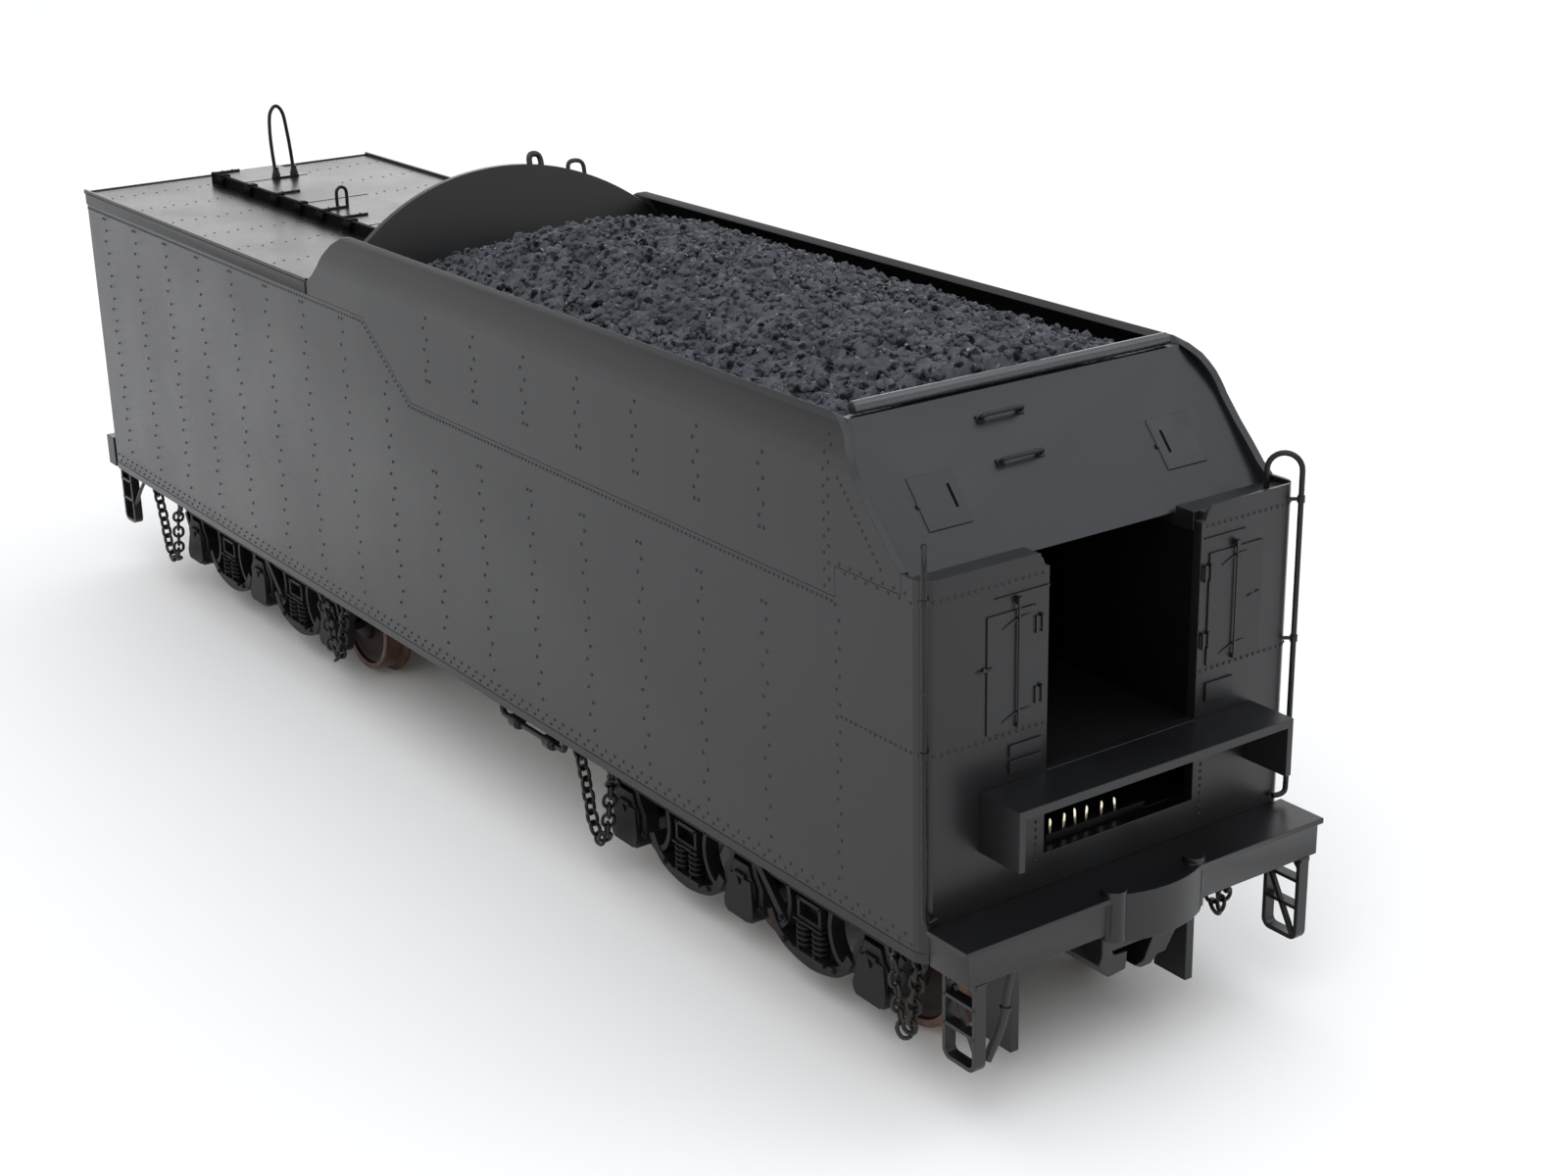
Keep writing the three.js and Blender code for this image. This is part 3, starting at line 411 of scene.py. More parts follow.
# ---------------------------------------------------------------- tank, deck and boards
refined("recess_liner", SHADE, bevel=0)
for part, edge in (("tank_shell", 0.05), ("upper_floor", 0.05), ("rear_deck", 0.05),
                   ("coal_board_left", 0.06), ("coal_board_right", 0.06), ("slope_sheet", 0.05),
                   ("front_shelf", 0.05), ("front_platform", 0.06), ("underframe", 0.08), ("rear_beam", 0.08),
                   ("wheel_guard_left", 0.06), ("wheel_guard_right", 0.06), ("drawbar_pocket", 0.12),
                   ("coupler_box", 0.08)):
    refined(part, bevel=edge)


def evenly(start, end, pitch):
    """Points from start to end, about pitch apart."""
    start, end = Vector(start), Vector(end)
    count = max(1, round((end - start).length / pitch))
    return [start.lerp(end, i / count) for i in range(count + 1)]


def staggered(start, end, pitch, sway):
    """The same, each second one to the other side of the line."""
    along = (Vector(end) - Vector(start)).normalized()
    across = Vector((-along.y, along.x)) * sway
    return [p + across * (1 if i % 2 else -1) for i, p in enumerate(evenly(start, end, pitch))]


def side_rivets():
    """(y, z) of the rivets in the zigzag columns on one side of the tank."""
    foot, spots = 2.7, []
    for y in (*REAR_COLUMNS, 87.7):
        spots += [Vector((y - SWAY, 30.0)), Vector((y + SWAY, 30.0))]
        spots += staggered((y, 28.7), (y, foot), COLUMN_PITCH, SWAY)
    spots += staggered((79.2, 25.7), (79.2, foot), COLUMN_PITCH, SWAY)
    for y in BUNKER_COLUMNS:
        head = 19.1 if y == BUNKER_COLUMNS[0] else 21.7
        for z in (27.5, head):
            spots += [Vector((y - SWAY, z)), Vector((y + SWAY, z))]
        spots += staggered((y, 33.3), (y, 28.4), 0.95, SWAY)
        spots += staggered((y, head - COLUMN_PITCH), (y, foot), COLUMN_PITCH, SWAY)
    return spots


def seam_rivets():
    """(y, z) of the finer rivets that follow the seams and edges of one side."""
    spots = evenly((10.6, SEAM_Z - 0.42), (74.0, SEAM_Z - 0.42), 0.58)
    spots += evenly((74.7, SEAM_Z - 0.35), (83.0, 30.45), 0.6)
    spots += evenly((83.6, 30.55), (94.6, 30.55), 0.6)
    spots += evenly((95.2, 30.55), (152.2, 30.55), SEAM_PITCH)
    spots += staggered((11.1, SEAM_Z + 0.5), (11.1, 36.3), SEAM_PITCH, 0.28)
    spots += staggered((1.6, BELTS[0]), (9.6, BELTS[0]), SEAM_PITCH, 0.26)
    spots += evenly((1.6, BELTS[1]), (9.6, BELTS[1]), 0.58)
    spots += evenly((9.7, 33.6), (4.9, 28.2), 0.58)
    return spots


def edge_rivets():
    """(y, z) of the double row along the bottom edge and the column beside the cabinet."""
    return [*staggered((1.6, 1.1), (LENGTH - 1.2, 1.1), 0.7, 0.31),
            *staggered((9.95, 2.6), (9.95, SEAM_Z - 0.6), 1.1, 0.2)]


def side_spot(y, z):
    """The point and outward direction on the right side of the tank or its curved board."""
    if z <= BEND_Z:
        return (HALF, y, z), (1, 0, 0)
    a = math.asin(min(1, (z - BEND_Z) / BEND_R))
    return (HALF - BEND_R + BEND_R * math.cos(a), y, z), (math.cos(a), 0, math.sin(a))


rivets = Shape()
for spots, radius in ((side_rivets(), 0.17), (seam_rivets(), 0.145), (edge_rivets(), 0.155)):
    for y, z in spots:
        rivets.dome(*side_spot(y, z), radius, radius * (0.6 if y < BULKHEAD_Y else 0.42))
piece("side_rivets_right", rivets, PAINT, sharp=80)
piece("side_rivets_left", Shape().join(rivets, flip=True), PAINT, sharp=80)

front = Shape()
rows = [((-16.3, BELTS[0]), (-7.3, BELTS[0])), ((8.5, BELTS[0]), (16.3, BELTS[0])),
        ((-16.3, BELTS[1]), (-7.1, BELTS[1])), ((8.3, BELTS[1]), (16.3, BELTS[1])),
        ((-7.6, 5.0), (-7.6, 8.6)), ((8.75, 3.9), (8.75, 8.6)),
        ((-7.2, 9.6), (-7.2, 11.2)), ((8.5, 9.6), (8.5, 11.2))]
for start, end in rows:
    for x, z in evenly(start, end, SEAM_PITCH):
        front.dome((x, 0, z), (0, -1, 0), 0.15, 0.1)
for turn in (20, 45, 70):
    a = math.radians(turn)
    for side in (-1, 1):
        for z in BELTS:
            front.dome((side * (HALF - CORNER_R + CORNER_R * math.sin(a)),
                        CORNER_R - CORNER_R * math.cos(a), z),
                       (side * math.sin(a), -math.cos(a), 0), 0.15, 0.1)
piece("front_rivets", front, PAINT, sharp=80)

deck = Shape()
for y in REAR_COLUMNS:
    for side in (-1, 1):
        for x, where in staggered((side * 4.9, y), (side * 16.6, y), 1.3, 0.3):
            deck.dome((x, where, DECK_Z), (0, 0, 1), 0.15, 0.055)
for side in (-1, 1):
    for x, y in evenly((side * 17.3, 96), (side * 17.3, 151.6), 0.7):
        deck.dome((x, y, DECK_Z), (0, 0, 1), 0.12, 0.05)
for x, y in evenly((-17.0, 152.4), (17.0, 152.4), 0.7):
    deck.dome((x, y, DECK_Z), (0, 0, 1), 0.12, 0.05)
piece("deck_rivets", deck, PAINT, sharp=80)

rim = Shape().box(-HALF, HALF, LENGTH - 0.3, LENGTH, DECK_Z - 0.1, DECK_Z + 0.14)
for side in (-1, 1):
    inner, outer = sorted((side * (HALF - 0.32), side * HALF))
    rim.box(inner, outer, 94.8, LENGTH, DECK_Z - 0.1, DECK_Z + 0.34)
piece("deck_rim", rim, PAINT, bevel=0.05)

back = Shape()
for x in (-13.05, -4.35, 4.35, 13.05):
    for u, z in staggered((x, 29.4), (x, 3.0), COLUMN_PITCH, SWAY):
        back.dome((u, LENGTH, z), (0, 1, 0), 0.17, 0.09)
for z in (30.4, 3.0):
    for x, w in evenly((-16.6, z), (16.6, z), SEAM_PITCH):
        back.dome((x, LENGTH, w), (0, 1, 0), 0.14, 0.08)
for side in (-1, 1):
    for x, z in evenly((side * 16.9, 3.6), (side * 16.9, 29.8), SEAM_PITCH):
        back.dome((x, LENGTH, z), (0, 1, 0), 0.14, 0.08)
piece("back_rivets", back, PAINT, sharp=80)

# ---------------------------------------------------------------- slope sheet fittings
FOOT, HEAD = Vector((3.4, 28.0)), Vector((11.5, 37.6))
UP = (HEAD - FOOT).normalized()
OUT = Vector((-UP.y, UP.x))


def on_slope(x, s, lift):
    """A point on the slope sheet: across, up along the sheet, and out from it."""
    p = FOOT + UP * s + OUT * lift
    return (x, p.x, p.y)


def slope_bar(shape, x0, x1, s0, s1, height):
    """A flat bar on the slope sheet, let into it by a tenth of a millimetre."""
    corners = [on_slope(x, s, lift) for x in (x0, x1) for s in (s0, s1) for lift in (-0.1, height)]
    return shape.add(corners, BOX_FACES)


slope_length = (HEAD - FOOT).length
bar = [on_slope(x, slope_length + 0.12, -0.08) for x in (-15.0, -10, 0, 10, 15.0)]
# The bar gets the lighter black, a painted highlight for its bright reflecting line.
piece("slope_sheet_bar_finished", Shape().tube(bar, 0.5, 28), PAINTED_HIGHLIGHT_BLACK, replaces="slope_sheet_bar",
      bevel=0.12, sharp=50)
trim = Shape()
for x in (-13.4, 9.2):
    slope_bar(trim, x - 0.12, x + 0.1, 4.3, 4.65, 0.2)
for side in (-1, 1):
    slope_bar(trim, side * 13.4 - 0.5, side * 13.4 + 0.5, slope_length - 0.25, slope_length + 0.5, 0.25)
piece("slope_sheet_trim", trim, PAINT, bevel=0.03)
slots = Shape()
for x in (-10.26, 10.1):
    slope_bar(slots, x - 0.09, x + 0.09, 3.75, 5.6, 0.17)
piece("slope_sheet_slots", slots, SHADE)
for name, s in (("upper", 9.7), ("lower", 6.15)):
    left_x, right_x = -5.1, -1.35
    grab = Shape().tube(smooth_path([on_slope(left_x, s, -0.2), on_slope(left_x, s, 0.4),
                                     on_slope(left_x + 0.3, s, 0.7), on_slope(left_x + 0.8, s, 0.72),
                                     on_slope(right_x - 0.8, s, 0.72), on_slope(right_x - 0.3, s, 0.7),
                                     on_slope(right_x, s, 0.4), on_slope(right_x, s, -0.2)], 5), 0.17, 12)
    for x in (left_x, right_x):
        slope_bar(grab, x - 0.3, x + 0.3, s - 0.3, s + 0.3, 0.16)
    piece(f"grab_iron_{name}_finished", grab, WIRE, replaces=f"grab_iron_{name}")

# ---------------------------------------------------------------- arched bulkhead
centre = BULKHEAD_TOP - BULKHEAD_R
spread = math.degrees(math.asin(15.0 / BULKHEAD_R))
half = 16.8
outline = [(-half, DECK_Z), (half, DECK_Z), (half, 35.2), (16.2, 36.3),
           *arc(0, centre, BULKHEAD_R, 90 - spread, 90 + spread, 60), (-16.2, 36.3), (-half, 35.2)]
arch = Shape().prism("y", outline, BULKHEAD_Y, BULKHEAD_Y + 0.7)
for x, reach, r in ((4.1, 0.6, 0.3), (8.5, 0.85, 0.22)):
    y, z = BULKHEAD_Y + 0.35, centre + math.sqrt(BULKHEAD_R ** 2 - x * x)
    arch.tube(smooth_path([(x - reach, y, z - 0.5), (x - reach, y, z + 0.55), (x - reach * 0.5, y, z + 0.95),
                           (x + reach * 0.5, y, z + 0.9), (x + reach, y, z + 0.45),
                           (x + reach, y, z - 0.7)], 5), r, 10)
arch.points = [(x, y + max(0, z - DECK_Z) * BULKHEAD_LEAN, z) for x, y, z in arch.points]
arch.box(-half, half, BULKHEAD_Y, BULKHEAD_Y + 0.7, ROOF_Z, DECK_Z)
piece("coal_bulkhead_finished", arch, PAINT, replaces="coal_bulkhead", bevel=0.08)

# ---------------------------------------------------------------- coal
COAL_X, COAL_Y0, COAL_Y1 = 15.4, 13.2, 84.9
CROWN_Z, COAL_EDGE_Z = 39.9, 36.0


def coal_height(x, y):
    """The heap's height: a crown along the middle that falls to the boards and to the bulkhead."""
    u, v = x / COAL_X, (y - COAL_Y0) / (COAL_Y1 - COAL_Y0)
    crown = CROWN_Z - 1.4 * (1 - v) - 6 * max(0, (y - 69) / 15.9) ** 1.3
    edge = COAL_EDGE_Z - 0.3 * (1 - v) - 2.2 * max(0, (y - 76) / 8.9)
    blend = math.cos(min(1, abs(u)) * math.pi / 2) ** 0.8
    lump = 0.28 * math.sin(2.1 * x + 0.7 * y) * math.cos(1.3 * y - 0.9 * x)
    return edge + (crown - edge) * blend + lump * (1 - abs(u) ** 6)


def coal_bed(across, along):
    """The solid heap: a rough top with small round pits, closed by walls and a floor."""
    top, floor = [], []
    for i in range(across + 1):
        for j in range(along + 1):
            x = -COAL_X + 2 * COAL_X * i / across
            y = COAL_Y0 + (COAL_Y1 - COAL_Y0) * j / along
            rough = 0.30 * noise.noise(Vector((x * 0.9, y * 0.9, 3.1)))
            rough += 0.26 * noise.noise(Vector((x * 2.3, y * 2.3, 8)))
            pit = max(0, noise.noise(Vector((x * 1.7, y * 1.7, 5.5))) - 0.22) * 1.7
            top.append((x, y, coal_height(x, y) - 0.12 + rough - pit))
            floor.append((x, y, ROOF_Z))
    row, count = along + 1, len(top)
    faces = []
    for i in range(across):
        for j in range(along):
            a, b, c, d = i * row + j, (i + 1) * row + j, (i + 1) * row + j + 1, i * row + j + 1
            faces += [(a, b, c, d), (count + d, count + c, count + b, count + a)]
    rim = [i * row for i in range(across)] + [across * row + j for j in range(along)]
    rim += [i * row + along for i in range(across, 0, -1)] + [j for j in range(along, 0, -1)]
    for a, b in zip(rim, rim[1:] + rim[:1]):
        faces.append((a, count + a, count + b, b))
    return Shape().add([*top, *floor], faces)


def lump_scatter(pitch, sizes, sink, chance, rng):
    """Broken lumps, each a roughly cut and turned icosahedron, over the whole heap. Each place on
    a grid of that pitch has a lump with that chance, sunk by a share of its size."""
    seed_lump = bmesh.new()
    bmesh.ops.create_icosphere(seed_lump, subdivisions=1, radius=1.0)
    corners = [v.co.copy() for v in seed_lump.verts]
    faces = [tuple(v.index for v in f.verts) for f in seed_lump.faces]
    seed_lump.free()
    shape = Shape()
    x = -COAL_X
    while x <= COAL_X:
        y = COAL_Y0 + 0.3
        while y <= COAL_Y1 - 0.2:
            if rng.random() < chance:
                px = x + rng.uniform(-0.5, 0.5) * pitch
                py = y + rng.uniform(-0.5, 0.5) * pitch
                size = rng.uniform(*sizes)
                angle = rng.uniform(0, 6.28)
                axis = Vector((rng.uniform(-1, 1), rng.uniform(-1, 1), rng.uniform(-1, 1)))
                turn = Matrix.Rotation(angle, 3, axis.normalized())
                stretch = Vector((rng.uniform(0.7, 1.3), rng.uniform(0.7, 1.3), rng.uniform(0.6, 1.1)))
                height = coal_height(max(-COAL_X, min(COAL_X, px)), py) - sink * size
                height += rng.uniform(-0.22, 0.22)
                body = [Vector((px, py, height)) + turn @ (c * stretch) * size * rng.uniform(0.8, 1.15)
                        for c in corners]
                shape.add(body, faces)
            y += pitch
        x += pitch
    return shape


rng = random.Random(SEED)
piece("coal_bed", coal_bed(110, 256), COAL, replaces="coal_load", sharp=180)
piece("coal_lumps", lump_scatter(1.0, (0.32, 0.60), 0.42, 0.85, rng), COAL, sharp=24)
piece("coal_chips", lump_scatter(0.85, (0.14, 0.26), 0.1, 0.55, rng), COAL, sharp=24)

# ---------------------------------------------------------------- cab end
def cabinet_door(x0, x1, bar_x, bar_top, hinge_x, handle):
    """A panel in low relief with two hinges, a thin lift bar held by two curved straps."""
    door = Shape().box(x0, x1, -0.14, 0.05, 16.0, 24.85)
    door.box(bar_x - 0.07, bar_x + 0.07, -0.40, -0.26, 16.3, bar_top)
    door.box(bar_x - 0.17, bar_x + 0.17, -0.46, -0.1, bar_top - 0.3, bar_top + 0.25)
    door.box(bar_x - 0.13, bar_x + 0.13, -0.42, -0.1, 16.1, 16.4)
    for z in (24.0, 17.0):
        strap = [(bar_x - 1.35, -0.16, z - 0.3), (bar_x - 0.8, -0.19, z - 0.05), (bar_x, -0.22, z + 0.22),
                 (bar_x + 0.8, -0.19, z + 0.3), (bar_x + 1.3, -0.16, z + 0.28)]
        door.tube(smooth_path(strap, 4), 0.07, 6)
    for z in (22.75, 17.45):
        for x in (hinge_x - 0.45, hinge_x + 0.1):
            door.box(x, x + 0.22, -0.30, 0.05, z, z + 1.3)
        door.box(hinge_x - 0.6, hinge_x + 0.5, -0.17, 0.05, z + 0.15, z + 1.15)
    x, y, z = handle
    door.tube([(x - 0.6, -0.2, z - 0.08), (x + 0.6, -0.22, z + 0.1)], 0.07, 8)
    door.dome((x, -0.1, z), (0, -1, 0), 0.2, 0.14, 10)
    return door


left = cabinet_door(-12.4, -7.9, -9.7, 25.6, -7.65, (-12.6, 0, 21.0))
left.box(-11.7, -6.75, -0.14, 0.05, 25.98, 26.06)
left.box(-10.3, -7.3, -0.2, 0.05, 13.85, 14.75)
left.box(-10.3, -7.3, -0.2, 0.05, 12.6, 13.55)
piece("cabinet_door_left_finished", left, PAINT, replaces="cabinet_door_left", bevel=0.025)
right = cabinet_door(8.75, 14.2, 11.35, 25.2, 8.6, (13.35, 0, 20.75))
right.box(8.2, 12.4, -0.14, 0.05, 26.02, 26.1)
right.box(8.8, 11.6, -0.2, 0.05, 13.1, 14.6)
piece("cabinet_door_right_finished", right, PAINT, replaces="cabinet_door_right", bevel=0.025)


def handrail(x, y):
    """A rail on the right: foot, upright, loop to the low wall, two standoffs with round collars."""
    loop, loop_r, inward, along = [], 1.3, 0.62, 0.78
    for i in range(13):
        a = math.pi * i / 12
        reach = loop_r - loop_r * math.cos(a)
        loop.append((x - inward * reach, y + along * reach, 29.5 + loop_r * math.sin(a)))
    foot = smooth_path([(x - 1.2, y + 0.2, 3.3), (x - 0.5, y + 0.1, 3.25), (x - 0.08, y, 3.5),
                        (x, y, 4.2)], 4)
    path = [*foot, (x, y, 12), (x, y, 20), (x, y, 28), *loop,
            (x - inward * 2.6, y + along * 2.6, ROOF_EDGE_Z - 0.2)]
    rail = Shape().tube(path, 0.22, 14)
    for z in (27.3, 16.2):
        rail.tube([(x, y, z), (x - 1.15, y + 0.95, z)], 0.15, 10)
        rail.tube([(x, y, z - 0.26), (x, y, z + 0.26)], 0.30, 12)
    return rail


piece("handrail_right_finished", handrail(17.65, -0.45), WIRE, replaces="handrail_right")
piece("handrail_left_finished", Shape().join(handrail(18.1, -0.3), flip=True), WIRE,
      replaces="handrail_left")

hose = smooth_path([(-12.2, -3.0, 0.2), (-12.3, -3.0, -1.0), (-12.7, -3.0, -2.6), (-13.0, -3.0, -4.4),
                    (-13.7, -3.0, -6.1), (-14.6, -3.0, -7.6)], 6)
collar = len(hose) // 2 + 2
pipe = Shape().tube(hose[:collar], 0.3, 14).tube(hose[collar - 1:], 0.38, 14)
pipe.tube(hose[collar - 1:collar + 1], 0.46, 14).tube(hose[:3], 0.5, 6)
piece("air_hose_finished", pipe, RUBBER, replaces="air_hose", bevel=0.05)


def steps(y0, y1, top):
    """Right-hand corner steps: two stringers, two rungs, a tread with round corners and a brace."""
    x0, x1, low, rungs = 15.65, 16.65, -7.6, (-2.45, -4.75)
    inset, turn = 0.19, 0.6
    path = [(y0 + inset, top), *arc(y0 + inset + turn, low + inset + turn, turn, 180, 270, 4),
            *arc(y1 - inset - turn, low + inset + turn, turn, 270, 360, 4), (y1 - inset, top)]
    made = Shape().band(path, 0.38, x0, x1)
    for z in rungs:
        made.box(x0, x1, y0 + 0.2, y1 - 0.2, z - 0.15, z + 0.15)
    made.band([(y0 + 0.5, low + 0.3), (y1 - 0.3, -2.0)], 0.42, x0, x0 + 0.35)
    made.box(x0 + 0.05, x1 - 0.05, y0 - 0.1, y1 + 0.5, top - 0.4, top)
    for end, way in ((y0, 1), (y1, -1)):
        gusset = [(end + way * 0.3, top - 0.3), (end + way * 1.1, top - 0.3), (end + way * 0.3, top - 1.2)]
        made.prism("x", gusset, x0 + 0.1, x1 - 0.1)
    for y in (y0 + 0.2, y1 - 0.2):
        for z in rungs:
            made.dome((x1, y, z), (1, 0, 0), 0.14, 0.09, 8)
    return made


for end, (y0, y1) in {"front": (-4.2, -0.5), "rear": (151.9, 155.0)}.items():
    made = steps(y0, y1, FRAME_Z)
    if end == "rear":
        made.tube([(16.3, y0 + 0.3, -5.4), (16.3, 149.9, -2.9), (16.3, 147.5, FRAME_Z - 0.2)], 0.22, 10)
        made.box(16.0, 16.6, 147.1, 148.0, FRAME_Z - 0.35, FRAME_Z)
    piece(f"step_{end}_right_finished", made, PAINT, replaces=f"step_{end}_right", bevel=0.05)
    piece(f"step_{end}_left_finished", Shape().join(made, flip=True), PAINT,
          replaces=f"step_{end}_left", bevel=0.05)

# ---------------------------------------------------------------- rear deck fittings
hatch_half, hatch_top = 4.0, DECK_Z + 1.15
hatch = Shape().box(-hatch_half, hatch_half, 101, 148.2, DECK_Z - 0.05, hatch_top)
hinge = Shape().box(-4.25, -3.75, 100.8, 148.4, DECK_Z - 0.05, hatch_top + 0.12)
for y in (112, 118.5, 124, 130, 137, 144.5):
    hinge.tube([(-4.15, y, DECK_Z + 0.72), (-4.15, y + 1.7, DECK_Z + 0.72)], 0.52, 12)
    hinge.box(-4.35, -3.4, y + 0.35, y + 1.35, DECK_Z, hatch_top + 0.22)
piece("water_hatch_hinge", hinge, SHADE, bevel=0.04)
for y in (147.4, 131.2, 119.6, 114.6):
    hatch.box(-hatch_half, -1.1, y, y + 0.32, hatch_top - 0.1, hatch_top + 0.24)
    for x in (-3.2, -2.0):
        hatch.dome((x, y + 0.16, hatch_top + 0.24), (0, 0, 1), 0.13, 0.08, 8)
for y in (109.5, 124.8, 140.2):
    hatch.box(-hatch_half, hatch_half, y, y + 0.16, hatch_top - 0.1, hatch_top + 0.05)
piece("water_hatch_finished", hatch, PAINT, replaces="water_hatch", bevel=0.06)
handle = smooth_path([(-1.9, 120.3, hatch_top - 0.1), (-1.9, 120.3, hatch_top + 1.55),
                      (-1.72, 120.27, hatch_top + 1.98), (-1.35, 120.25, hatch_top + 2.15),
                      (-0.98, 120.22, hatch_top + 1.98), (-0.8, 120.2, hatch_top + 1.55),
                      (-0.8, 120.2, hatch_top - 0.1)], 5)
piece("hatch_handle_finished", Shape().tube(handle, 0.18, 12), WIRE, replaces="hatch_handle")
y = 140.2
loop = smooth_path([(0.15, y, hatch_top), (-0.05, y + 0.1, hatch_top + 3.2), (-0.1, y + 0.1, hatch_top + 5.4),
                    (0.1, y + 0.1, hatch_top + 7.3), (0.85, y + 0.1, hatch_top + 8.1),
                    (1.6, y + 0.1, hatch_top + 7.3), (1.95, y + 0.1, hatch_top + 5.2),
                    (2.2, y + 0.1, hatch_top + 2.8), (2.35, y, hatch_top)], 6)
pin = Shape().tube(loop, 0.2, 12)
for x in (0.15, 2.35):
    pin.lathe([(0, 0), (0.46, 0), (0.46, 0.5), (0.34, 0.85), (0.3, 1.3), (0, 1.3)],
              (x, y, hatch_top), "z", 14)
pin.box(-0.3, 2.8, y - 0.34, y + 0.34, hatch_top - 0.05, hatch_top + 0.22)
piece("deck_hairpin_finished", pin, WIRE, replaces="deck_hairpin", bevel=0.04,
      weld=True)

# ---------------------------------------------------------------- below and inside the tank
bends = ((67.6, FRAME_Z), (67.6, -3.7), (67.3, -4.2), (66.9, -4.4), (62.0, -4.4), (57.0, -4.4),
         (56.6, -4.2), (56.3, -3.7), (56.3, FRAME_Z))
brake = Shape().tube(smooth_path([(-14, y, z) for y, z in bends], 4), 0.3, 12)
for y in (65.0, 58.9):
    brake.lathe([(0.3, -0.95), (0.5, -0.9), (0.5, -0.6), (0.66, -0.5), (0.66, 0.5), (0.5, 0.6), (0.5, 0.9),
                 (0.3, 0.95)], (-14, y, -4.4), "y", 16)
piece("brake_pipe_finished", brake, WIRE, replaces="brake_pipe", weld=True)

refined("ballast_weight", STEEL, bevel=0.25)
refined("circuit_board", BOARD, bevel=0.05)
pins = Shape().box(-5.4, 4.4, 1.4, 2.2, 5.15, 5.75)
pins.slots = [1] * len(pins.faces)
PINS = ((-4.84, 6.9), (-3.52, 6.95), (-2.37, 7.05), (-1.31, 6.9), (0.2, 6.85), (1.56, 6.8))
for i, (x, tall) in enumerate(PINS):
    lean = 0.1 * math.sin(2.3 * i)
    levels = ((0.10, 0.14, 5.6, 0), (0.12, 0.14, 6.2, 0.4), (0.12, 0.14, tall - 0.2, 1),
              (0.05, 0.07, tall, 1))
    pins.rings([[(x - w + lean * t, 1.7 - d, z), (x + w + lean * t, 1.7 - d, z),
                 (x + w + lean * t, 1.7 + d, z), (x - w + lean * t, 1.7 + d, z)] for w, d, z, t in levels])
piece("connector_pins_finished", pins, [GOLD, PAINT_DULL], replaces="connector_pins",
      bevel=0.03)
refined("rear_coupler", WIRE, body="coupler", bevel=0.08)

# ---------------------------------------------------------------- trucks
def coil_spring(shape, x, y, z0, z1, radius=0.6, wire=0.15, turns=5):
    """A coil spring round a plain core."""
    steps_each = 14
    count = turns * steps_each
    path = []
    for i in range(count + 1):
        a = 2 * math.pi * i / steps_each
        path.append((x + radius * math.cos(a), y + radius * math.sin(a), z0 + (z1 - z0) * i / count))
    shape.tube(path, wire, 7)
    shape.tube([(x, y, z0 - 0.1), (x, y, z1 + 0.1)], radius * 0.55, 10)


def journal(shape, s):
    """Box, sloping lid with its hinge lug, and the frame's two legs beside it."""
    body = [(s - 1.0, -4.55), (s + 1.0, -4.55), (s + 1.35, -5.5), (s + 1.85, -6.0), (s + 1.85, -8.7),
            *arc(s + 0.95, -8.8, 0.9, 0, -70, 4), *arc(s - 0.95, -8.8, 0.9, -110, -180, 4),
            (s - 1.85, -6.0), (s - 1.35, -5.5)]
    shape.prism("x", body, 12.25, 13.95)
    lid = [(s - 1.5, -5.8), (s - 0.5, -5.8), (s, -6.6), (s + 0.5, -5.8), (s + 1.5, -5.8),
           (s + 2.05, -8.3), *arc(s + 1.15, -8.5, 0.9, 0, -70, 3),
           *arc(s - 1.15, -8.5, 0.9, -110, -180, 3), (s - 2.05, -8.3)]
    low, high = [(13.9, y, z) for y, z in lid], [(14.1 + 0.09 * (-5.8 - z), y, z) for y, z in lid]
    shape.rings([low, high])
    shape.tube([(14.05, s - 0.75, -5.6), (14.05, s + 0.75, -5.6)], 0.22, 12)
    for side in (-1, 1):
        bends = ((1.3, -3.6), (1.75, -5.2), (2.45, -6.2), (2.3, -8.4))
        shape.band([(s + side * out, z) for out, z in bends], 0.62, 12.35, 13.75)
        shape.bolt((13.75, s + side * 2.35, -7.9), (1, 0, 0), 0.24, 0.2)


def spring_group(shape, s):
    """Between two axles: pocket frame, a pair of coils on a seat, hangers and the curved equaliser."""
    pocket = [(s - 1.4, -4.55), (s + 1.4, -4.55), (s + 1.4, -6.15), (s - 1.4, -6.15)]
    shape.band(pocket, 0.36, 12.9, 13.9, True)
    shape.box(12.4, 13.0, s - 2.3, s + 2.3, -9.4, -3.6)
    for d in (-1.05, 1.05):
        coil_spring(shape, 13.5, s + d, -8.85, -6.4)
    shape.box(12.4, 14.2, s - 2.15, s + 2.15, -9.3, -8.9)
    shape.box(12.9, 14.1, s - 1.9, s + 1.9, -6.5, -6.3)
    boat = smooth_path([(s - 5.35, -7.1, 0), (s - 4.6, -8.25, 0), (s - 3.1, -9.25, 0), (s, -9.8, 0),
                        (s + 3.1, -9.25, 0), (s + 4.6, -8.25, 0), (s + 5.35, -7.1, 0)], 5)
    shape.band([(p.x, p.y) for p in boat], 0.85, 12.35, 13.95)
    for side in (-1, 1):
        bends = ((2.95, -3.8), (2.65, -5.4), (2.95, -6.9), (3.8, -8.0), (4.9, -8.2))
        hanger = smooth_path([(s + side * out, z, 0) for out, z in bends], 4)
        shape.band([(p.x, p.y) for p in hanger], 0.5, 12.5, 13.85)
        shape.bolt((13.95, s + side * 3.3, -9.0), (1, 0, 0), 0.26, 0.2)
        shape.bolt((13.9, s + side * 1.4, -4.55), (1, 0, 0), 0.13, 0.12)


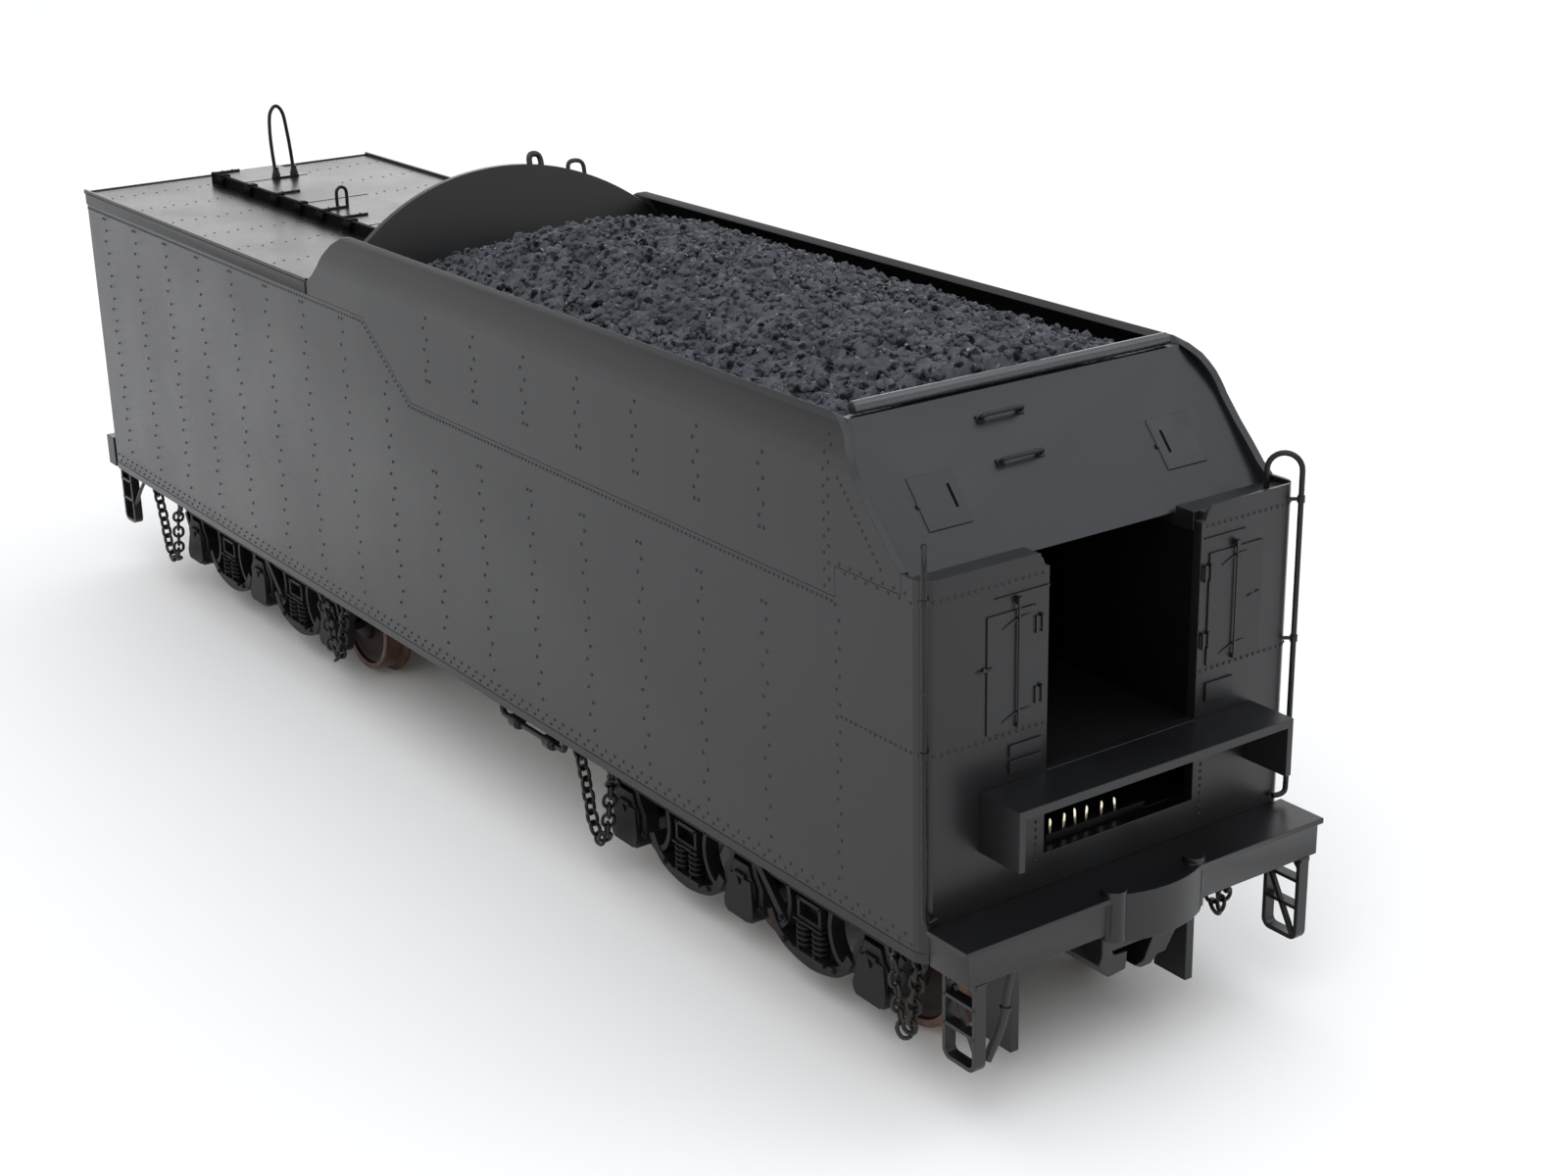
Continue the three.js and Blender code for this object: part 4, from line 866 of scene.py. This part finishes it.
def side_frame():
    """The right side frame of a six-wheel truck, about the truck's middle."""
    frame_shape = Shape()
    rail = [(-21.2, -4.5), (-20.3, -3.75), (-19.2, -3.55), (19.2, -3.55), (20.3, -3.75), (21.2, -4.5)]
    frame_shape.band(rail, 0.95, 12.2, 13.5)
    frame_shape.band([(-19.4, -3.12), (19.4, -3.12)], 0.24, 12.2, 14.0)
    frame_shape.band([(-19.4, -4.05), (19.4, -4.05)], 0.22, 12.2, 13.85)
    for end in (-1, 1):
        frame_shape.band([(end * 20.9, -4.4), (end * 20.3, -5.6), (end * 19.4, -6.4), (end * 19.3, -8.3)],
                         0.6, 12.3, 13.7)
    for s in (-AXLE_GAP, 0, AXLE_GAP):
        journal(frame_shape, s)
    for s in (-AXLE_GAP / 2 - 0.5, AXLE_GAP / 2 - 0.5):
        spring_group(frame_shape, s)
    frame_shape.band([(-2.3, -3.3), (-6.2, -7.3)], 0.72, 13.5, 14.15)
    frame_shape.bolt((14.15, -5.9, -7.0), (1, 0, 0), 0.26, 0.2)
    return frame_shape


# Half a wheelset from its end inwards: radius, distance from the middle, and material (tread 0,
# wheel 1, axle 2).
WHEEL_HALF = [(0, 12.95, 2), (0.6, 12.4, 2), (0.6, 10.5, 1), (1.55, 10.45, 1), (1.8, 10.25, 1),
              (1.9, 9.75, 1), (2.3, 9.55, 1), (3.9, 9.5, 1), (4.35, 9.75, 1), (4.5, 10.05, 0),
              (5.05, 10.1, 0), (5.13, 10.0, 0), (5.2, 8.15, 0), (5.35, 7.95, 0), (5.62, 7.85, 0),
              (5.8, 7.68, 0), (5.8, 7.6, 0), (5.65, 7.38, 0), (5.5, 7.3, 0), (4.6, 7.3, 1),
              (4.4, 7.5, 1), (4.2, 7.85, 1), (2.2, 7.9, 1), (1.7, 7.5, 1), (1.6, 7.0, 2),
              (1.0, 6.95, 2), (1.0, 0, 2)]


def wheelset(y):
    """Axle and two flanged wheels: the half profile and its mirror image, turned round the axle."""
    profile = [(r, -d) for r, d, _ in WHEEL_HALF] + [(r, d) for r, d, _ in WHEEL_HALF[-2::-1]]
    half = [m for _, _, m in WHEEL_HALF[:-1]]
    return Shape().lathe(profile, (0, y, AXLE_Z), "x", 56, slots=half + half[::-1])


for end, y in TRUCKS.items():
    body = f"{end}_truck"
    side = side_frame()
    piece(f"{end}_truck_side_right_finished", Shape().join(side, (0, y, 0)), PAINT_DULL, body,
          f"{end}_truck_side_right", bevel=0.05)
    piece(f"{end}_truck_side_left_finished", Shape().join(side, (0, y, 0), flip=True), PAINT_DULL, body,
          f"{end}_truck_side_left", bevel=0.05)
    refined(f"{end}_truck_bolster", PAINT_DULL, body)
    refined(f"{end}_pivot_screw", STEEL, bevel=0.1)
    for k in (1, 2, 3):
        piece(f"{end}_wheelset_{k}_finished", wheelset(y + (k - 2) * AXLE_GAP), [TREAD, WHEEL, CHAIN],
              f"{end}_axle_{k}", f"{end}_wheelset_{k}", weld=True, sharp=28)


# ---------------------------------------------------------------- safety chains
def chain(y0, y1, low):
    """A right-hand chain of oval links hanging between a hook under the tank and one on the truck."""
    x, mid, top = 15.9, (y0 + y1) / 2, FRAME_Z - 0.5
    route = smooth_path([(x, y0, top - 0.9), (x, y0 + (mid - y0) * 0.3, top - 3.4),
                         (x, y0 + (mid - y0) * 0.6, low + 1.6),
                         (x, mid, low + 0.3), (x, y1 + (mid - y1) * 0.6, low + 1.6),
                         (x, y1 + (mid - y1) * 0.3, top - 2.8), (x, y1, top - 1.6)], 10)
    spacing, half, wide, wire, twist = 1.0, 0.14, 0.52, 0.17, 0.4
    made, travelled, due, count = Shape(), 0.0, 0.0, 0
    for a, b in zip(route, route[1:]):
        step = (b - a).length
        while due <= travelled + step:
            p = a.lerp(b, (due - travelled) / step)
            along = (b - a).normalized()
            across = Vector((1, 0, 0)) if count % 2 else along.cross(Vector((1, 0, 0))).normalized()
            across = (across + twist * along.cross(across)).normalized()
            link = [along * (half * sign) + (along * math.cos(t) + across * math.sin(t)) * wide
                    for sign, first in ((1, -90), (-1, 90))
                    for t in (math.radians(first + 180 * i / 7) for i in range(8))]
            made.tube([p + q for q in link], wire, 8, closed=True)
            due += spacing
            count += 1
        travelled += step
    for hook_y, reach, hook_z in ((y0, 0.0, top - 0.2), (y1, -2.6, -3.75)):
        hook = [(x + reach, hook_y, hook_z), (x + reach * 0.4, hook_y, top - 0.3),
                (x + 0.1, hook_y - 0.45, top - 0.8), (x, hook_y - 0.35, top - 1.5),
                (x, hook_y + 0.2, top - 1.7), (x, hook_y + 0.45, top - 1.1)]
        made.tube(smooth_path(hook, 5), wire, 8)
    return made


# Each chain's truck, its free end, its end on the truck (y) and its lowest point (z).
CHAINS = {1: ("front", 2.9, 6.3, -8.6), 2: ("front", 50.5, 44.6, -9.4),
          3: ("rear", 96.2, 102.0, -8.6), 4: ("rear", 145.6, 138.8, -9.6)}
for number, (end, free, fixed, low) in CHAINS.items():
    made = chain(free, fixed, low)
    for side, flip in (("left", True), ("right", False)):
        piece(f"safety_chain_{number}_{side}_finished", Shape().join(made, flip=flip), CHAIN, f"{end}_truck",
              f"safety_chain_{number}_{side}", sharp=60)

# ---------------------------------------------------------------- floor, light and camera
def area_light(name, place, target, size, power, colour=(1, 1, 1)):
    """A rectangular lamp that faces a target; places and sizes in metres."""
    data = bpy.data.lights.new(name, "AREA")
    data.shape, data.size, data.size_y = "RECTANGLE", size[0], size[1]
    data.energy, data.color = power, colour
    lamp = bpy.data.objects.new(name, data)
    lamp.location = place
    lamp.rotation_euler = (Vector(target) - Vector(place)).to_track_quat("-Z", "Y").to_euler()
    bpy.context.scene.collection.objects.link(lamp)


floor_mesh = bpy.data.meshes.new("studio_floor")
reach = 6  # half the floor's side, in metres
corners = [(-reach, -reach, 0), (reach, -reach, 0), (reach, reach, 0), (-reach, reach, 0)]
floor_mesh.from_pydata(corners, [], [(0, 1, 2, 3)])
floor = bpy.data.objects.new("studio_floor", floor_mesh)
bpy.context.scene.collection.objects.link(floor)
pale, _, pale_shader = blank_material("studio_floor")
pale_shader.inputs["Base Color"].default_value = (0.875, 0.86, 0.83, 1)
pale_shader.inputs["Roughness"].default_value = 0.6
pale_shader.inputs["Specular IOR Level"].default_value = 0.0
floor_mesh.materials.append(pale)

# The studio: a soft sky that is darker halfway up, and a bright backdrop low beyond the tender.
world = bpy.data.worlds.new("studio")
bpy.context.scene.world = world
world.use_nodes = True
tree = world.node_tree
direction = node(tree, "ShaderNodeSeparateXYZ")
tree.links.new(node(tree, "ShaderNodeTexCoord").outputs["Generated"], direction.inputs[0])
dome = ramp(tree, direction.outputs["Z"], [(0.0, 1.2), (0.25, 1.2), (0.54, (0.59, 0.60, 0.63)),
                                           (0.72, (1.42, 1.48, 1.6)), (1.0, (1.8, 1.87, 2.0))])
low = ramp(tree, direction.outputs["Z"], [(0.34, 1.7), (0.46, 0.0)])
behind = ramp(tree, direction.outputs["Y"], [(0.40, 0.0), (0.78, 1.0)])
beyond = ramp(tree, direction.outputs["X"], [(0.10, 0.0), (0.40, 1.0)])
backdrop = blend_colours(tree, 1.0, blend_colours(tree, 1.0, low, behind, "MULTIPLY"), beyond, "MULTIPLY")
sky = blend_colours(tree, 1.0, dome, backdrop, "ADD")
tree.links.new(sky, tree.nodes["Background"].inputs["Color"])
tree.nodes["Background"].inputs["Strength"].default_value = 0.83
area_light("softbox", (0.48, -0.40, 0.57), (0, -0.07, 0.03), (0.42, 0.42), 0.56, (0.83, 0.91, 1))
area_light("fill", (-0.42, -0.42, 0.62), (-0.08, -0.10, 0), (0.5, 0.5), 1.7)

# The camera's place and lens in millimetres, and its heading, downward tilt and roll in degrees.
EYE, LENS = (-114.32, -120.97, 85.3), 56.683
AZIMUTH, ELEVATION, ROLL = map(math.radians, (-35.113, 20.193, -1.239))
camera = bpy.data.objects.new("camera", bpy.data.cameras.new("camera"))
camera.data.lens = LENS
camera.data.clip_start, camera.data.clip_end = 0.01, 50
forward = Vector((-math.sin(AZIMUTH) * math.cos(ELEVATION), math.cos(AZIMUTH) * math.cos(ELEVATION),
                  -math.sin(ELEVATION)))
level = Vector((forward.y, -forward.x, 0)).normalized()
upright = level.cross(forward)
right = level * math.cos(ROLL) + upright * math.sin(ROLL)
up = right.cross(forward)
camera.matrix_world = Matrix((right, up, -forward)).transposed().to_4x4()
camera.location = at(EYE)
bpy.context.scene.collection.objects.link(camera)
bpy.context.scene.camera = camera
bpy.context.scene.view_settings.view_transform = "Standard"
